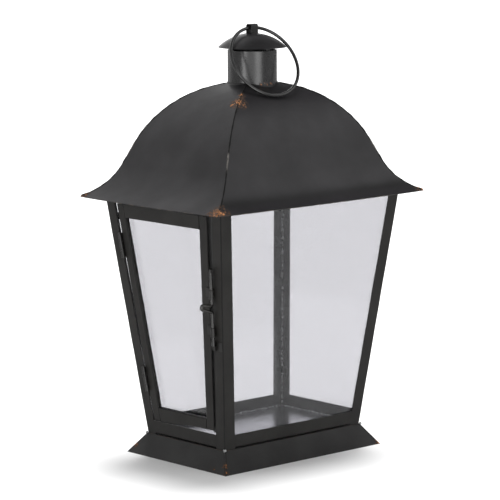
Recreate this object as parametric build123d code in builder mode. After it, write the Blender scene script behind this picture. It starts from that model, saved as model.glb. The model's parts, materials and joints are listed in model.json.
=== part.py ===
"""Candle lantern in painted sheet metal: flared base, tapered glazed body with a
hinged and bolted door, ogee roof, chimney with a domed cap, and a carry ring.

Millimetres, +Z up. The origin is at the middle of the base, on the surface that the
lantern stands on. The wide faces look along -Y and +Y, the narrow ones along -X and
+X, and the door fills the -X face.
"""
import os
from math import atan, cos, degrees, hypot, radians, sin, sqrt

from build123d import *

# ---------------------------------------------------------------- driving dimensions
SHEET = 0.8  # body and roof sheet
THIN_SHEET = 0.5  # hinge leaves and guides
GLASS = 2.0
PLAY = 0.15  # between a pane and the metal it lies against

# Base skirt: a flared ring of four mitred panels with a ledge on top and a hem below.
SKIRT_FOOT = (104.4, 74.2)  # half lengths along X and Y at the floor
SKIRT_TOP = (92.3, 59.0)
SKIRT_HEIGHT = 20.3
LEDGE_WIDTH = 15.0
HEM_WIDTH = 4.0

# Body: a four-sided box that widens upwards at the same rate on every face.
BODY_FOOT = (91.6, 58.3)  # half lengths where the posts stand on the ledge
TAPER = 0.1185  # growth of each half length per millimetre of height
BODY_TOP_Z = 269.4
POST_FLANGE_SIDE = 12.5  # flange lying in the narrow faces
POST_FLANGE_FRONT = 13.6  # flange lying in the wide faces
HINGE_POST_FLANGE_BACK = 11.0  # the hinge post's flange in the back face
RAIL_FOOT_Z = 21.6
RAIL_HEIGHT = 13.2
RAIL_SHELF = 9.0
TOP_RAIL_HEIGHT = 13.2

FLOOR_GAP = 3.7  # from the outer face to the floor plate's edge
PANE_INSET = 3.6  # from the corner lines to the edge of a fixed pane

# Door: a folded channel frame in the -X face, narrower than its opening.
DOOR_FOOT_Z = 35.6
DOOR_TOP_Z = 254.6
HINGE_GAP_FOOT = 1.9  # from the post's flange to the stile, at the door's foot
HINGE_GAP_TOP = 4.3
BOLT_GAP_FOOT = 2.9
BOLT_GAP_TOP = 8.4
HINGE_STILE_WIDTH = 9.6
BOLT_STILE_WIDTH = 11.2
DOOR_RAIL_HEIGHT = 13.8
CHANNEL_DEPTH = 4.8
CHANNEL_LIP = 5.0
STOP_LAP_SIDE = 5.4  # how far the stops reach behind the door's edge
STOP_LAP_TOP = 4.0

# Hinges: rolled knuckles that stand just outside the gap beside the hinge stile.
HINGE_HEIGHTS = (77.5, 212.5)
HINGE_LENGTH = 25.0
HINGE_OFFSET = 1.95  # knuckle axis outside the face
KNUCKLE_RADIUS = 1.75
PIN_RADIUS = 0.9
PIN_CLEARANCE = 0.05
KNUCKLE_GAP = 0.4

# Drop bolt: one bent wire with a finger loop, held in two guides on the bolt stile.
BOLT_RADIUS = 1.7
BOLT_OFFSET = 2.85  # wire axis outside the face
BOLT_FOOT_Z = 127.2
BOLT_TIP_Z = 204.8
BOLT_EDGE_FOOT = 10.4  # wire axis from the front corner line, at the wire's foot
BOLT_EDGE_TOP = 13.0
LOOP_TOP_Z = 167.4
LOOP_FOOT_Z = 161.0
LOOP_REACH = 12.6
LOOP_LIFT = 4.6  # the loop's outer end stands above the middle of its two legs
GUIDE_HEIGHTS = (141.0, 179.2)
GUIDE_LENGTH = 9.2
GUIDE_CLEARANCE = 0.3
KEEPER_FOOT_Z = 122.4
KEEPER_LENGTH = 9.0

# Roof: the same ogee on every side, stretched along X so that the hips run straight.
EAVE_Z = 261.2
EAVE = (139.3, 103.2)
HIP_RATIO = EAVE[0] / EAVE[1]
FLARE_START = 20.0  # slope at the eave, in degrees
FLARE_RADIUS = 60.0
STEEPEST = 64.5
STRAIGHT_RUN = 24.5
DOME_RADIUS = 110.0
DOME_END = 12.0

# Chimney and its cap.
CHIMNEY_RADIUS = 24.6
CHIMNEY_FOOT_Z = 362.0
CHIMNEY_TOP_Z = 404.1
CAP_RADIUS = 34.1
CAP_RIM_Z = 407.0
CAP_RISE = 14.0
STAY_COUNT = 3
STAY_WIDTH = 6.0
STAY_FOOT_Z = 394.0
STAY_TAB = 5.4

# Carry ring and the strap that holds it.
TOP_Z = 430.0
STRAP_WIDTH = 8.6
STRAP_SPAN = 8.4
STRAP_SHEET = 0.9
STRAP_FOOT_Z = 418.3
STRAP_TOE = 4.5
RING_RADIUS = 38.3  # to the wire's centre
RING_WIRE = 1.65
RING_EYE_Z = 426.2
RING_LEAN = 57.2  # below the horizontal, over the front panel of the roof
RING_YAW = -5.5  # the ring hangs a little askew in its strap

SLOPE = degrees(atan(TAPER))
FACE_RISE = 1 / cos(radians(SLOPE))  # distance up a face for one millimetre of height


# ------------------------------------------------------------------- shared geometry
def half_length(axis: int, z: float) -> float:
    """Half length of the body's outer face along X (0) or Y (1) at height z."""
    return BODY_FOOT[axis] + TAPER * (z - SKIRT_HEIGHT)


def face_plane(side: str, outset: float = 0.0) -> Plane:
    """Plane of one body face, moved outwards by outset: x runs right, y up the face."""
    axis = 0 if side in ("left", "right") else 1
    sign = -1 if side in ("left", "front") else 1
    reach = half_length(axis, 0.0)
    lean_in = sin(radians(SLOPE))
    lean_out = cos(radians(SLOPE))
    if axis == 0:
        base = Plane(origin=(sign * reach, 0, 0), x_dir=(0, sign, 0),
                     z_dir=(sign * lean_out, 0, -lean_in))
    else:
        base = Plane(origin=(0, sign * reach, 0), x_dir=(-sign, 0, 0),
                     z_dir=(0, sign * lean_out, -lean_in))
    return base.offset(outset)


def on_face(axis: int, side_gap: float, z: float, outset: float = 0.0) -> tuple[float, float]:
    """Point of a face sketch at height z, side_gap in from the face's right-hand edge.

    outset is how far the sketch's plane stands off the face, which shifts the height.
    """
    height = (z + outset * sin(radians(SLOPE))) * FACE_RISE
    return (half_length(1 - axis, z) - side_gap, height)


def envelope(low: float, high: float) -> Part:
    """Solid four-sided body between two heights."""
    with BuildPart() as solid:
        for z in (low, high):
            with BuildSketch(Plane.XY.offset(z)):
                Rectangle(2 * half_length(0, z), 2 * half_length(1, z))
        loft()
    return solid.part


def save(piece: BuildPart, label: str) -> None:
    """Label a finished piece and write its STEP file."""
    piece.part.label = label
    export_step(piece.part, f"parts/{label}.step")


os.makedirs("parts", exist_ok=True)

SIDES = ("front", "back", "left", "right")
FACE_AXIS = {"front": 1, "back": 1, "left": 0, "right": 0}
CORNERS = {"door_hinge": (-1, 1), "door_bolt": (-1, -1), "front_right": (1, -1), "back_right": (1, 1)}


# ------------------------------------------------------------------------ base skirt
def flared_block(inset: float, low: float, high: float) -> Part:
    """Solid flared base between two heights, its faces moved in by inset."""
    with BuildPart() as block:
        for z in (low, high):
            share = z / SKIRT_HEIGHT
            sizes = [2 * (foot + (top - foot) * share - inset) for foot, top in zip(SKIRT_FOOT, SKIRT_TOP)]
            with BuildSketch(Plane.XY.offset(z)):
                Rectangle(*sizes)
        loft()
    return block.part


def mitre_wedge(side: str) -> list[tuple[float, float]]:
    """Plan outline that holds one side of the skirt, bounded by the corner mitres."""
    step = [foot - top for foot, top in zip(SKIRT_FOOT, SKIRT_TOP)]
    outer = [top + 2.0 * run for top, run in zip(SKIRT_TOP, step)]
    inner = [top - 2.0 * run for top, run in zip(SKIRT_TOP, step)]
    sign = -1 if side in ("front", "left") else 1
    if FACE_AXIS[side] == 1:
        return [(-outer[0], sign * outer[1]), (outer[0], sign * outer[1]),
                (inner[0], sign * inner[1]), (-inner[0], sign * inner[1])]
    return [(sign * outer[0], -outer[1]), (sign * outer[0], outer[1]),
            (sign * inner[0], inner[1]), (sign * inner[0], -inner[1])]


wall = SHEET * hypot(1.0, (SKIRT_FOOT[1] - SKIRT_TOP[1]) / SKIRT_HEIGHT)
for side in SIDES:
    with BuildPart() as skirt_panel:
        add(flared_block(0.0, 0.0, SKIRT_HEIGHT))
        add(flared_block(wall, SHEET, SKIRT_HEIGHT - SHEET), mode=Mode.SUBTRACT)
        with BuildSketch(Plane.XY):
            Rectangle(2 * (SKIRT_FOOT[0] - HEM_WIDTH), 2 * (SKIRT_FOOT[1] - HEM_WIDTH))
        extrude(amount=SHEET, mode=Mode.SUBTRACT)
        with BuildSketch(Plane.XY.offset(SKIRT_HEIGHT - SHEET)):
            Rectangle(2 * (SKIRT_TOP[0] - LEDGE_WIDTH), 2 * (SKIRT_TOP[1] - LEDGE_WIDTH))
        extrude(amount=SHEET, mode=Mode.SUBTRACT)
        with BuildSketch(Plane.XY):
            with BuildLine():
                Polyline(*mitre_wedge(side), close=True)
            make_face()
        extrude(amount=SKIRT_HEIGHT, mode=Mode.INTERSECT)
    save(skirt_panel, f"base_skirt_{side}")


# ------------------------------------------------------------------------ floor plate
RAIL_SHELF_TOP = RAIL_FOOT_Z + SHEET
FLOOR_FOOT_Z = RAIL_SHELF_TOP
with BuildPart() as floor_plate:
    with BuildSketch(Plane.XY.offset(FLOOR_FOOT_Z)):
        Rectangle(2 * (half_length(0, FLOOR_FOOT_Z) - FLOOR_GAP),
                  2 * (half_length(1, FLOOR_FOOT_Z) - FLOOR_GAP))
    extrude(amount=SHEET)
save(floor_plate, "floor_plate")


# ----------------------------------------------------------------------- corner posts
POST_OVERRUN = 2.0  # drawn past both ends, then cut to the body's height


def flange_outline(axis: int, width: float, right_hand: bool) -> list[tuple[float, float]]:
    """Outline of a post's flange in a face: it follows the corner line."""
    low, high = SKIRT_HEIGHT - POST_OVERRUN, BODY_TOP_Z + POST_OVERRUN
    points = [on_face(axis, 0, low), on_face(axis, width, low),
              on_face(axis, width, high), on_face(axis, 0, high)]
    return points if right_hand else [(-u, v) for u, v in points]


for corner, (sign_x, sign_y) in CORNERS.items():
    side_face = "left" if sign_x < 0 else "right"
    wide_face = "front" if sign_y < 0 else "back"
    side_is_right_hand = sign_x == sign_y
    wide_flange = HINGE_POST_FLANGE_BACK if corner == "door_hinge" else POST_FLANGE_FRONT
    with BuildPart() as post:
        with BuildSketch(face_plane(side_face)):
            with BuildLine():
                Polyline(*flange_outline(0, POST_FLANGE_SIDE, side_is_right_hand), close=True)
            make_face()
        extrude(amount=-SHEET)
        with BuildSketch(face_plane(wide_face)):
            with BuildLine():
                Polyline(*flange_outline(1, wide_flange, not side_is_right_hand), close=True)
            make_face()
        extrude(amount=-SHEET)
        add(envelope(SKIRT_HEIGHT, BODY_TOP_Z), mode=Mode.INTERSECT)
    save(post, f"corner_post_{corner}")


# -------------------------------------------------------------------- rails of the body
def rail(side: str, low: float, high: float, shelf_z: float) -> BuildPart:
    """Strip between two posts, flush with them, with a shelf turned inwards."""
    axis = FACE_AXIS[side]
    flange = POST_FLANGE_FRONT if axis == 1 else POST_FLANGE_SIDE
    right_flange = HINGE_POST_FLANGE_BACK if side == "back" else flange
    with BuildPart() as strip:
        with BuildSketch(face_plane(side)):
            with BuildLine():
                right = [on_face(axis, right_flange, z) for z in (low - 1, high + 1)]
                left = [(-u, v) for u, v in (on_face(axis, flange, z) for z in (high + 1, low - 1))]
                Polyline(*right, *left, close=True)
            make_face()
        extrude(amount=-SHEET)
        with BuildSketch(Plane.XY.offset(shelf_z)):
            reach = half_length(1 - axis, shelf_z) - flange
            depth = half_length(axis, shelf_z)
            sign = -1 if side in ("front", "left") else 1
            middle = sign * (depth - RAIL_SHELF / 2)
            spot = (0, middle) if axis == 1 else (middle, 0)
            size = (2 * reach, RAIL_SHELF + 2) if axis == 1 else (RAIL_SHELF + 2, 2 * reach)
            with Locations(spot):
                Rectangle(*size)
        extrude(amount=SHEET)
        add(envelope(low, high), mode=Mode.INTERSECT)
    return strip


TOP_RAIL_FOOT_Z = BODY_TOP_Z - TOP_RAIL_HEIGHT
for side in SIDES:
    bottom_name = "door_sill" if side == "left" else f"bottom_rail_{side}"
    top_name = "door_lintel" if side == "left" else f"top_rail_{side}"
    save(rail(side, RAIL_FOOT_Z, RAIL_FOOT_Z + RAIL_HEIGHT, RAIL_FOOT_Z), bottom_name)
    save(rail(side, TOP_RAIL_FOOT_Z, BODY_TOP_Z, BODY_TOP_Z - SHEET), top_name)


# ------------------------------------------------------------------- fixed glass panes
PANE_FOOT_Z = FLOOR_FOOT_Z + SHEET + 0.2
PANE_TOP_Z = BODY_TOP_Z - SHEET - 0.6
PANE_DEPTH = SHEET + PLAY
for side in ("front", "back", "right"):
    axis = FACE_AXIS[side]
    with BuildPart() as pane:
        with BuildSketch(face_plane(side, -PANE_DEPTH)):
            with BuildLine():
                right = [on_face(axis, PANE_INSET, z, -PANE_DEPTH) for z in (PANE_FOOT_Z, PANE_TOP_Z)]
                Polyline(*right, *[(-u, v) for u, v in reversed(right)], close=True)
            make_face()
        extrude(amount=-GLASS)
    save(pane, f"glass_{side}")


# Folded tabs, soldered into the posts, that hold the fixed panes.
TAB_HEIGHTS = (60.0, 150.0, 240.0)
TAB_SIZE = (7.8, 7.0)
TAB_EDGE = 10.8  # from the corner line to the tab's free end
with BuildPart() as pane_tabs:
    for side in ("front", "back", "right"):
        axis = FACE_AXIS[side]
        depth = PANE_DEPTH + GLASS + PLAY
        with BuildSketch(face_plane(side, -depth)):
            for z in TAB_HEIGHTS:
                for sign in (-1, 1):
                    u, v = on_face(axis, TAB_EDGE - TAB_SIZE[0] / 2, z, -depth)
                    with Locations((sign * u, v)):
                        Rectangle(*TAB_SIZE)
        extrude(amount=-THIN_SHEET)
save(pane_tabs, "pane_tabs")


# ------------------------------------------------------------------------- door frame
def door_edge(hinge_side: bool, z: float) -> float:
    """Sketch x of the door's outer edge at height z, in the plane of the left face."""
    share = (z - DOOR_FOOT_Z) / (DOOR_TOP_Z - DOOR_FOOT_Z)
    if hinge_side:
        gap = HINGE_GAP_FOOT + (HINGE_GAP_TOP - HINGE_GAP_FOOT) * share
        return -(half_length(1, z) - POST_FLANGE_SIDE - gap)
    gap = BOLT_GAP_FOOT + (BOLT_GAP_TOP - BOLT_GAP_FOOT) * share
    return half_length(1, z) - POST_FLANGE_SIDE - gap


def stile_outline(hinge_side: bool, start: float, end: float) -> list[tuple[float, float]]:
    """Outline of a strip along a stile, from start to end in from the door's edge."""
    inward = 1 if hinge_side else -1
    low, high = DOOR_FOOT_Z, DOOR_TOP_Z
    return [(door_edge(hinge_side, z) + inward * gap, z * FACE_RISE)
            for z, gap in ((low, start), (low, end), (high, end), (high, start))]


def rail_outline(low: float, high: float) -> list[tuple[float, float]]:
    """Outline of a strip across the door, between the inner edges of the stiles."""
    left = [(door_edge(True, z) + HINGE_STILE_WIDTH, z * FACE_RISE) for z in (low, high)]
    right = [(door_edge(False, z) - BOLT_STILE_WIDTH, z * FACE_RISE) for z in (high, low)]
    return left + right


def folded_channel(outlines: list[tuple[list[tuple[float, float]], float, float]]) -> BuildPart:
    """Sheet channel: each outline is extruded inwards between two depths."""
    with BuildPart() as channel:
        for outline, start, end in outlines:
            with BuildSketch(face_plane("left", -start)):
                with BuildLine():
                    Polyline(*outline, close=True)
                make_face()
            extrude(amount=start - end)
    return channel


for hinge_side, width, name in ((True, HINGE_STILE_WIDTH, "door_stile_hinge"),
                                (False, BOLT_STILE_WIDTH, "door_stile_bolt")):
    save(folded_channel([
        (stile_outline(hinge_side, 0, width), 0, SHEET),
        (stile_outline(hinge_side, width - SHEET, width), SHEET, CHANNEL_DEPTH),
        (stile_outline(hinge_side, width - CHANNEL_LIP, width - SHEET), CHANNEL_DEPTH - SHEET, CHANNEL_DEPTH),
    ]), name)

for low, name in ((DOOR_FOOT_Z, "door_rail_bottom"), (DOOR_TOP_Z - DOOR_RAIL_HEIGHT, "door_rail_top")):
    high = low + DOOR_RAIL_HEIGHT
    at_bottom = name.endswith("bottom")
    web = (high - SHEET, high) if at_bottom else (low, low + SHEET)
    lip = (high - CHANNEL_LIP, high - SHEET) if at_bottom else (low + SHEET, low + CHANNEL_LIP)
    save(folded_channel([
        (rail_outline(low, high), 0, SHEET),
        (rail_outline(*web), SHEET, CHANNEL_DEPTH),
        (rail_outline(*lip), CHANNEL_DEPTH - SHEET, CHANNEL_DEPTH),
    ]), name)

# The door's pane lies behind the channel's lips.
DOOR_PANE_DEPTH = CHANNEL_DEPTH + PLAY
DOOR_PANE_LAP = 5.0
with BuildPart() as glass_door:
    with BuildSketch(face_plane("left", -DOOR_PANE_DEPTH)):
        with BuildLine():
            heights = (DOOR_FOOT_Z + DOOR_RAIL_HEIGHT - DOOR_PANE_LAP,
                       DOOR_TOP_Z - DOOR_RAIL_HEIGHT + DOOR_PANE_LAP)
            left = [(door_edge(True, z) + HINGE_STILE_WIDTH - DOOR_PANE_LAP, z * FACE_RISE) for z in heights]
            right = [(door_edge(False, z) - BOLT_STILE_WIDTH + DOOR_PANE_LAP, z * FACE_RISE) for z in heights]
            Polyline(left[0], right[0], right[1], left[1], close=True)
        make_face()
    extrude(amount=-GLASS)
save(glass_door, "glass_door")

# Tabs behind the hinge stile and the middle of both rails hold the door's pane.
DOOR_TAB = (5.0, 7.0)
with BuildPart() as door_pane_tabs:
    depth = DOOR_PANE_DEPTH + GLASS + PLAY
    with BuildSketch(face_plane("left", -depth)):
        for z in TAB_HEIGHTS:
            with Locations((door_edge(True, z) + HINGE_STILE_WIDTH - DOOR_PANE_LAP, z * FACE_RISE)):
                Rectangle(*DOOR_TAB)
        for z in heights:
            with Locations((0, z * FACE_RISE)):
                Rectangle(DOOR_TAB[1], DOOR_TAB[0])
    extrude(amount=-THIN_SHEET)
save(door_pane_tabs, "door_pane_tabs")


# ------------------------------------------------------------------------- door stops
STOP_DEPTH = CHANNEL_DEPTH + PLAY
STOP_FOOT_Z = RAIL_FOOT_Z + RAIL_HEIGHT


def stop_outline(low: float, high: float) -> list[tuple[float, float]]:
    """Outline of a strip across the doorway, from the hinge post to the side stop."""
    left = [(-on_face(0, POST_FLANGE_SIDE, z)[0], z * FACE_RISE) for z in (low, high)]
    right = [(door_edge(False, z) - STOP_LAP_SIDE, z * FACE_RISE) for z in (high, low)]
    return left + right


def side_stop_outline(from_door: bool) -> list[tuple[float, float]]:
    """Outline of the side stop's leg, from behind the door, or of its web alone."""
    heights = (STOP_FOOT_Z, TOP_RAIL_FOOT_Z)
    post = [(on_face(0, POST_FLANGE_SIDE, z)[0], z * FACE_RISE) for z in heights]
    inner = [(door_edge(False, z) - STOP_LAP_SIDE, z * FACE_RISE) for z in heights] if from_door else post
    return inner + [(u + SHEET, v) for u, v in reversed(post)]


save(folded_channel([
    (side_stop_outline(False), SHEET, STOP_DEPTH),
    (side_stop_outline(True), STOP_DEPTH, STOP_DEPTH + SHEET),
]), "door_stop_side")

save(folded_channel([
    (stop_outline(TOP_RAIL_FOOT_Z, TOP_RAIL_FOOT_Z + SHEET), SHEET, STOP_DEPTH + SHEET),
    (stop_outline(DOOR_TOP_Z - STOP_LAP_TOP, TOP_RAIL_FOOT_Z), STOP_DEPTH, STOP_DEPTH + SHEET),
]), "door_stop_top")


# ----------------------------------------------------------------------------- hinges
def gap_point(z: float) -> Vector:
    """Point of the hinge axis at height z: outside the middle of the gap."""
    share = (z - DOOR_FOOT_Z) / (DOOR_TOP_Z - DOOR_FOOT_Z)
    gap = HINGE_GAP_FOOT + (HINGE_GAP_TOP - HINGE_GAP_FOOT) * share
    y = half_length(1, z) - POST_FLANGE_SIDE - gap / 2
    return face_plane("left", HINGE_OFFSET).from_local_coords(Vector(-y, z * FACE_RISE, 0))


HINGE_LOW, HINGE_HIGH = (gap_point(z) for z in HINGE_HEIGHTS)
HINGE_AXIS = (HINGE_HIGH - HINGE_LOW).normalized()


def hinge_plane(centre: Vector, along: float) -> Plane:
    """Plane across the hinge axis: x points into the lantern, y towards the post."""
    inward = Vector(1, 0, 0) - HINGE_AXIS * HINGE_AXIS.dot(Vector(1, 0, 0))
    return Plane(origin=centre + HINGE_AXIS * along, x_dir=inward, z_dir=HINGE_AXIS)


LEAF_REACH = HINGE_OFFSET + SHEET + 0.35  # from the axis to the back of the flange
LEAF_WIDTH = 7.5


LEAF_CLEARANCE = 0.2  # from the gap's middle to each leaf
LEAF_START = 1.5  # from the pin's axis to the leaf's nearer edge


def hinge_leaf(centre: Vector, to_post: bool) -> BuildPart:
    """Leaf with its share of the knuckles: it passes through the gap and turns aside.

    The post's leaf holds the two end knuckles and the door's leaf the middle one.
    """
    third = HINGE_LENGTH / 3
    towards = 1 if to_post else -1
    gap_side = LEAF_CLEARANCE * towards
    spans = ((-HINGE_LENGTH / 2, third), (HINGE_LENGTH / 2 - third, third)) if to_post else (
        (-HINGE_LENGTH / 2 + third + KNUCKLE_GAP, third - 2 * KNUCKLE_GAP),)
    with BuildPart() as leaf:
        with BuildSketch(hinge_plane(centre, -HINGE_LENGTH / 2)):
            with Locations(((LEAF_REACH + LEAF_START) / 2 + THIN_SHEET / 2, gap_side + towards * THIN_SHEET / 2)):
                Rectangle(LEAF_REACH - LEAF_START + THIN_SHEET, THIN_SHEET)
            with Locations((LEAF_REACH + THIN_SHEET / 2, gap_side + towards * LEAF_WIDTH / 2)):
                Rectangle(THIN_SHEET, LEAF_WIDTH)
        extrude(amount=HINGE_LENGTH)
        for start, length in spans:
            with BuildSketch(hinge_plane(centre, start)):
                Circle(KNUCKLE_RADIUS)
            extrude(amount=length)
        clear_spans = ((-third / 2 - KNUCKLE_GAP, third + 2 * KNUCKLE_GAP),) if to_post else (
            (-HINGE_LENGTH / 2, third + KNUCKLE_GAP), (HINGE_LENGTH / 2 - third - KNUCKLE_GAP, third + KNUCKLE_GAP))
        for start, length in clear_spans:
            with BuildSketch(hinge_plane(centre, start)):
                Circle(KNUCKLE_RADIUS + KNUCKLE_GAP)
            extrude(amount=length, mode=Mode.SUBTRACT)
        with BuildSketch(hinge_plane(centre, -HINGE_LENGTH / 2)):
            Circle(PIN_RADIUS + (PIN_CLEARANCE if not to_post else 0.0))
        extrude(amount=HINGE_LENGTH, mode=Mode.SUBTRACT)
    return leaf


for place, centre in (("lower", HINGE_LOW), ("upper", HINGE_HIGH)):
    save(hinge_leaf(centre, True), f"hinge_leaf_post_{place}")
    save(hinge_leaf(centre, False), f"hinge_leaf_door_{place}")
    with BuildPart() as pin:
        with BuildSketch(hinge_plane(centre, -HINGE_LENGTH / 2)):
            Circle(PIN_RADIUS)
        extrude(amount=HINGE_LENGTH)
        with BuildSketch(hinge_plane(centre, HINGE_LENGTH / 2)):
            Circle(PIN_RADIUS + 0.4)
        extrude(amount=0.8)
    save(pin, f"hinge_pin_{place}")


# -------------------------------------------------------------------------- drop bolt
def bolt_point(z: float, outwards: float = 0.0, aside: float = 0.0) -> Vector:
    """Point at height z on the bolt's axis, moved out from the face and aside."""
    share = (z - BOLT_FOOT_Z) / (BOLT_TIP_Z - BOLT_FOOT_Z)
    edge = BOLT_EDGE_FOOT + (BOLT_EDGE_TOP - BOLT_EDGE_FOOT) * share
    u = half_length(1, z) - edge + aside
    return face_plane("left", BOLT_OFFSET + outwards).from_local_coords(Vector(u, z * FACE_RISE, 0))


BOLT_AXIS = (bolt_point(LOOP_FOOT_Z) - bolt_point(BOLT_FOOT_Z)).normalized()
loop_end_z = (LOOP_TOP_Z + LOOP_FOOT_Z) / 2 + LOOP_LIFT
bolt_route = [
    bolt_point(BOLT_FOOT_Z),
    bolt_point(LOOP_FOOT_Z),
    bolt_point(loop_end_z - 2.0, LOOP_REACH, -1.0),
    bolt_point(loop_end_z + 2.0, LOOP_REACH, -1.0),
    bolt_point(LOOP_TOP_Z),
    bolt_point(BOLT_TIP_Z - 3.5),
    bolt_point(BOLT_TIP_Z, 0.6, 1.6),
]
with BuildPart() as latch_bolt:
    with BuildLine() as bolt_path:
        FilletPolyline(*bolt_route, radius=(2.6, 1.95, 1.95, 2.6, 2.0))
    with BuildSketch(Plane(origin=bolt_route[0], z_dir=BOLT_AXIS)):
        Circle(BOLT_RADIUS)
    sweep()
save(latch_bolt, "latch_bolt")


def guide_plane(z: float) -> Plane:
    """Plane across the bolt at height z: x points out of the face, y to the front corner."""
    outward = face_plane("left").z_dir
    outward = outward - BOLT_AXIS * BOLT_AXIS.dot(outward)
    return Plane(origin=bolt_point(z), x_dir=outward, z_dir=BOLT_AXIS)


GUIDE_RADIUS = BOLT_RADIUS + GUIDE_CLEARANCE
GUIDE_PLATE = 10.6  # from the bolt's axis to the plate's free edge on the stile
GUIDE_PAD = 3.0  # width of the foot that is soldered to the stile
for z, name in zip(GUIDE_HEIGHTS, ("latch_guide_lower", "latch_guide_upper")):
    with BuildPart() as guide:
        with BuildSketch(guide_plane(z - GUIDE_LENGTH / 2)):
            Circle(GUIDE_RADIUS + THIN_SHEET)
            with Locations((-GUIDE_RADIUS - THIN_SHEET / 2, -GUIDE_PLATE / 2)):
                Rectangle(THIN_SHEET, GUIDE_PLATE)
            pad_height = BOLT_OFFSET - GUIDE_RADIUS
            with Locations((-GUIDE_RADIUS - pad_height / 2, -GUIDE_PLATE + GUIDE_PAD / 2)):
                Rectangle(pad_height, GUIDE_PAD)
            Circle(GUIDE_RADIUS, mode=Mode.SUBTRACT)
        extrude(amount=GUIDE_LENGTH)
    save(guide, name)

# The keeper is a strip on the front post: it passes behind the bolt, turns up beside it
# and carries a small step below it, on which the bolt rests.
KEEPER_PLATE = 9.6  # from the bolt's axis to the strip's free edge near the corner
KEEPER_LIP = 3.2
KEEPER_CLEARANCE = 0.35
keeper_back = -(BOLT_OFFSET - THIN_SHEET)
keeper_side = -(BOLT_RADIUS + KEEPER_CLEARANCE)
with BuildPart() as latch_keeper:
    with BuildSketch(guide_plane(KEEPER_FOOT_Z)):
        with Locations((keeper_back - THIN_SHEET / 2, (KEEPER_PLATE + keeper_side - THIN_SHEET) / 2)):
            Rectangle(THIN_SHEET, KEEPER_PLATE - keeper_side + THIN_SHEET)
        with Locations((keeper_back - THIN_SHEET + KEEPER_LIP / 2, keeper_side - THIN_SHEET / 2)):
            Rectangle(KEEPER_LIP, THIN_SHEET)
    extrude(amount=KEEPER_LENGTH)
    with BuildSketch(guide_plane(KEEPER_FOOT_Z)):
        with Locations((keeper_back / 2, 0)):
            Rectangle(-keeper_back, -2 * keeper_side)
    extrude(amount=BOLT_FOOT_Z - KEEPER_FOOT_Z - KEEPER_CLEARANCE)
save(latch_keeper, "latch_keeper")


# -------------------------------------------------------------------------------- roof
def ogee(inset: float, stretch: float) -> list[tuple[float, float]]:
    """Roof outline from the eave to the crown: a flare, a straight run and a dome.

    inset moves every point in along its normal, and stretch divides the run.
    """
    angle_0, angle_1, angle_2 = (radians(a) for a in (FLARE_START, STEEPEST, DOME_END))
    points = []
    flare_steps, dome_steps = 6, 7
    for step in range(flare_steps + 1):
        angle = angle_0 + (angle_1 - angle_0) * step / flare_steps
        run = EAVE[0] - FLARE_RADIUS * (sin(angle) - sin(angle_0))
        rise = EAVE_Z + FLARE_RADIUS * (cos(angle_0) - cos(angle))
        points.append((run, rise, angle))
    run, rise, _ = points[-1]
    run -= STRAIGHT_RUN * cos(angle_1)
    rise += STRAIGHT_RUN * sin(angle_1)
    for step in range(dome_steps + 1):
        angle = angle_1 + (angle_2 - angle_1) * step / dome_steps
        points.append((run - DOME_RADIUS * (sin(angle_1) - sin(angle)),
                       rise + DOME_RADIUS * (cos(angle) - cos(angle_1)), angle))
    return [((x - inset * sin(a)) / stretch, z - inset * cos(a)) for x, z, a in points]


def roof_panel(side: str) -> BuildPart:
    """One curved roof panel, mitred at the hips and cut round for the chimney."""
    axis = FACE_AXIS[side]
    sign = -1 if side in ("front", "left") else 1
    stretch = HIP_RATIO if axis == 1 else 1.0
    outer = [(sign * run, rise) for run, rise in ogee(0.0, stretch)]
    inner = [(sign * run, rise) for run, rise in ogee(SHEET, stretch)]
    reach = EAVE[1 - axis] + 2
    profile_plane = Plane.YZ.offset(-reach) if axis == 1 else Plane.XZ.offset(-reach)
    with BuildPart() as panel:
        with BuildSketch(profile_plane):
            with BuildLine():
                top = Spline(*outer)
                under = Spline(*inner)
                Line(top @ 0, under @ 0)
                Line(top @ 1, under @ 1)
            make_face()
        extrude(amount=2 * reach)
        with BuildSketch(Plane.XY.offset(EAVE_Z - 5)):
            with BuildLine():
                far_x, far_y = 1.1 * EAVE[0], 1.1 * EAVE[1]
                if axis == 1:
                    Polyline((0, 0), (-far_x, sign * far_y), (far_x, sign * far_y), close=True)
                else:
                    Polyline((0, 0), (sign * far_x, -far_y), (sign * far_x, far_y), close=True)
            make_face()
        extrude(amount=TOP_Z - EAVE_Z, mode=Mode.INTERSECT)
        with BuildSketch(Plane.XY.offset(EAVE_Z)):
            Circle(CHIMNEY_RADIUS + 0.05)
        extrude(amount=TOP_Z - EAVE_Z, mode=Mode.SUBTRACT)
    return panel


for side in SIDES:
    save(roof_panel(side), f"roof_panel_{side}")


# ----------------------------------------------------------------- chimney and its cap
with BuildPart() as chimney_tube:
    with BuildSketch(Plane.XY.offset(CHIMNEY_FOOT_Z)):
        Circle(CHIMNEY_RADIUS)
        Circle(CHIMNEY_RADIUS - SHEET, mode=Mode.SUBTRACT)
    extrude(amount=CHIMNEY_TOP_Z - CHIMNEY_FOOT_Z)
save(chimney_tube, "chimney_tube")

DOME_SPHERE = (CAP_RADIUS ** 2 + CAP_RISE ** 2) / (2 * CAP_RISE)
DOME_CENTRE_Z = CAP_RIM_Z + CAP_RISE - DOME_SPHERE


def underside(radius: float) -> float:
    """Height of the cap's inner surface at a radius."""
    return DOME_CENTRE_Z + sqrt((DOME_SPHERE - SHEET) ** 2 - radius ** 2)


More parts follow.
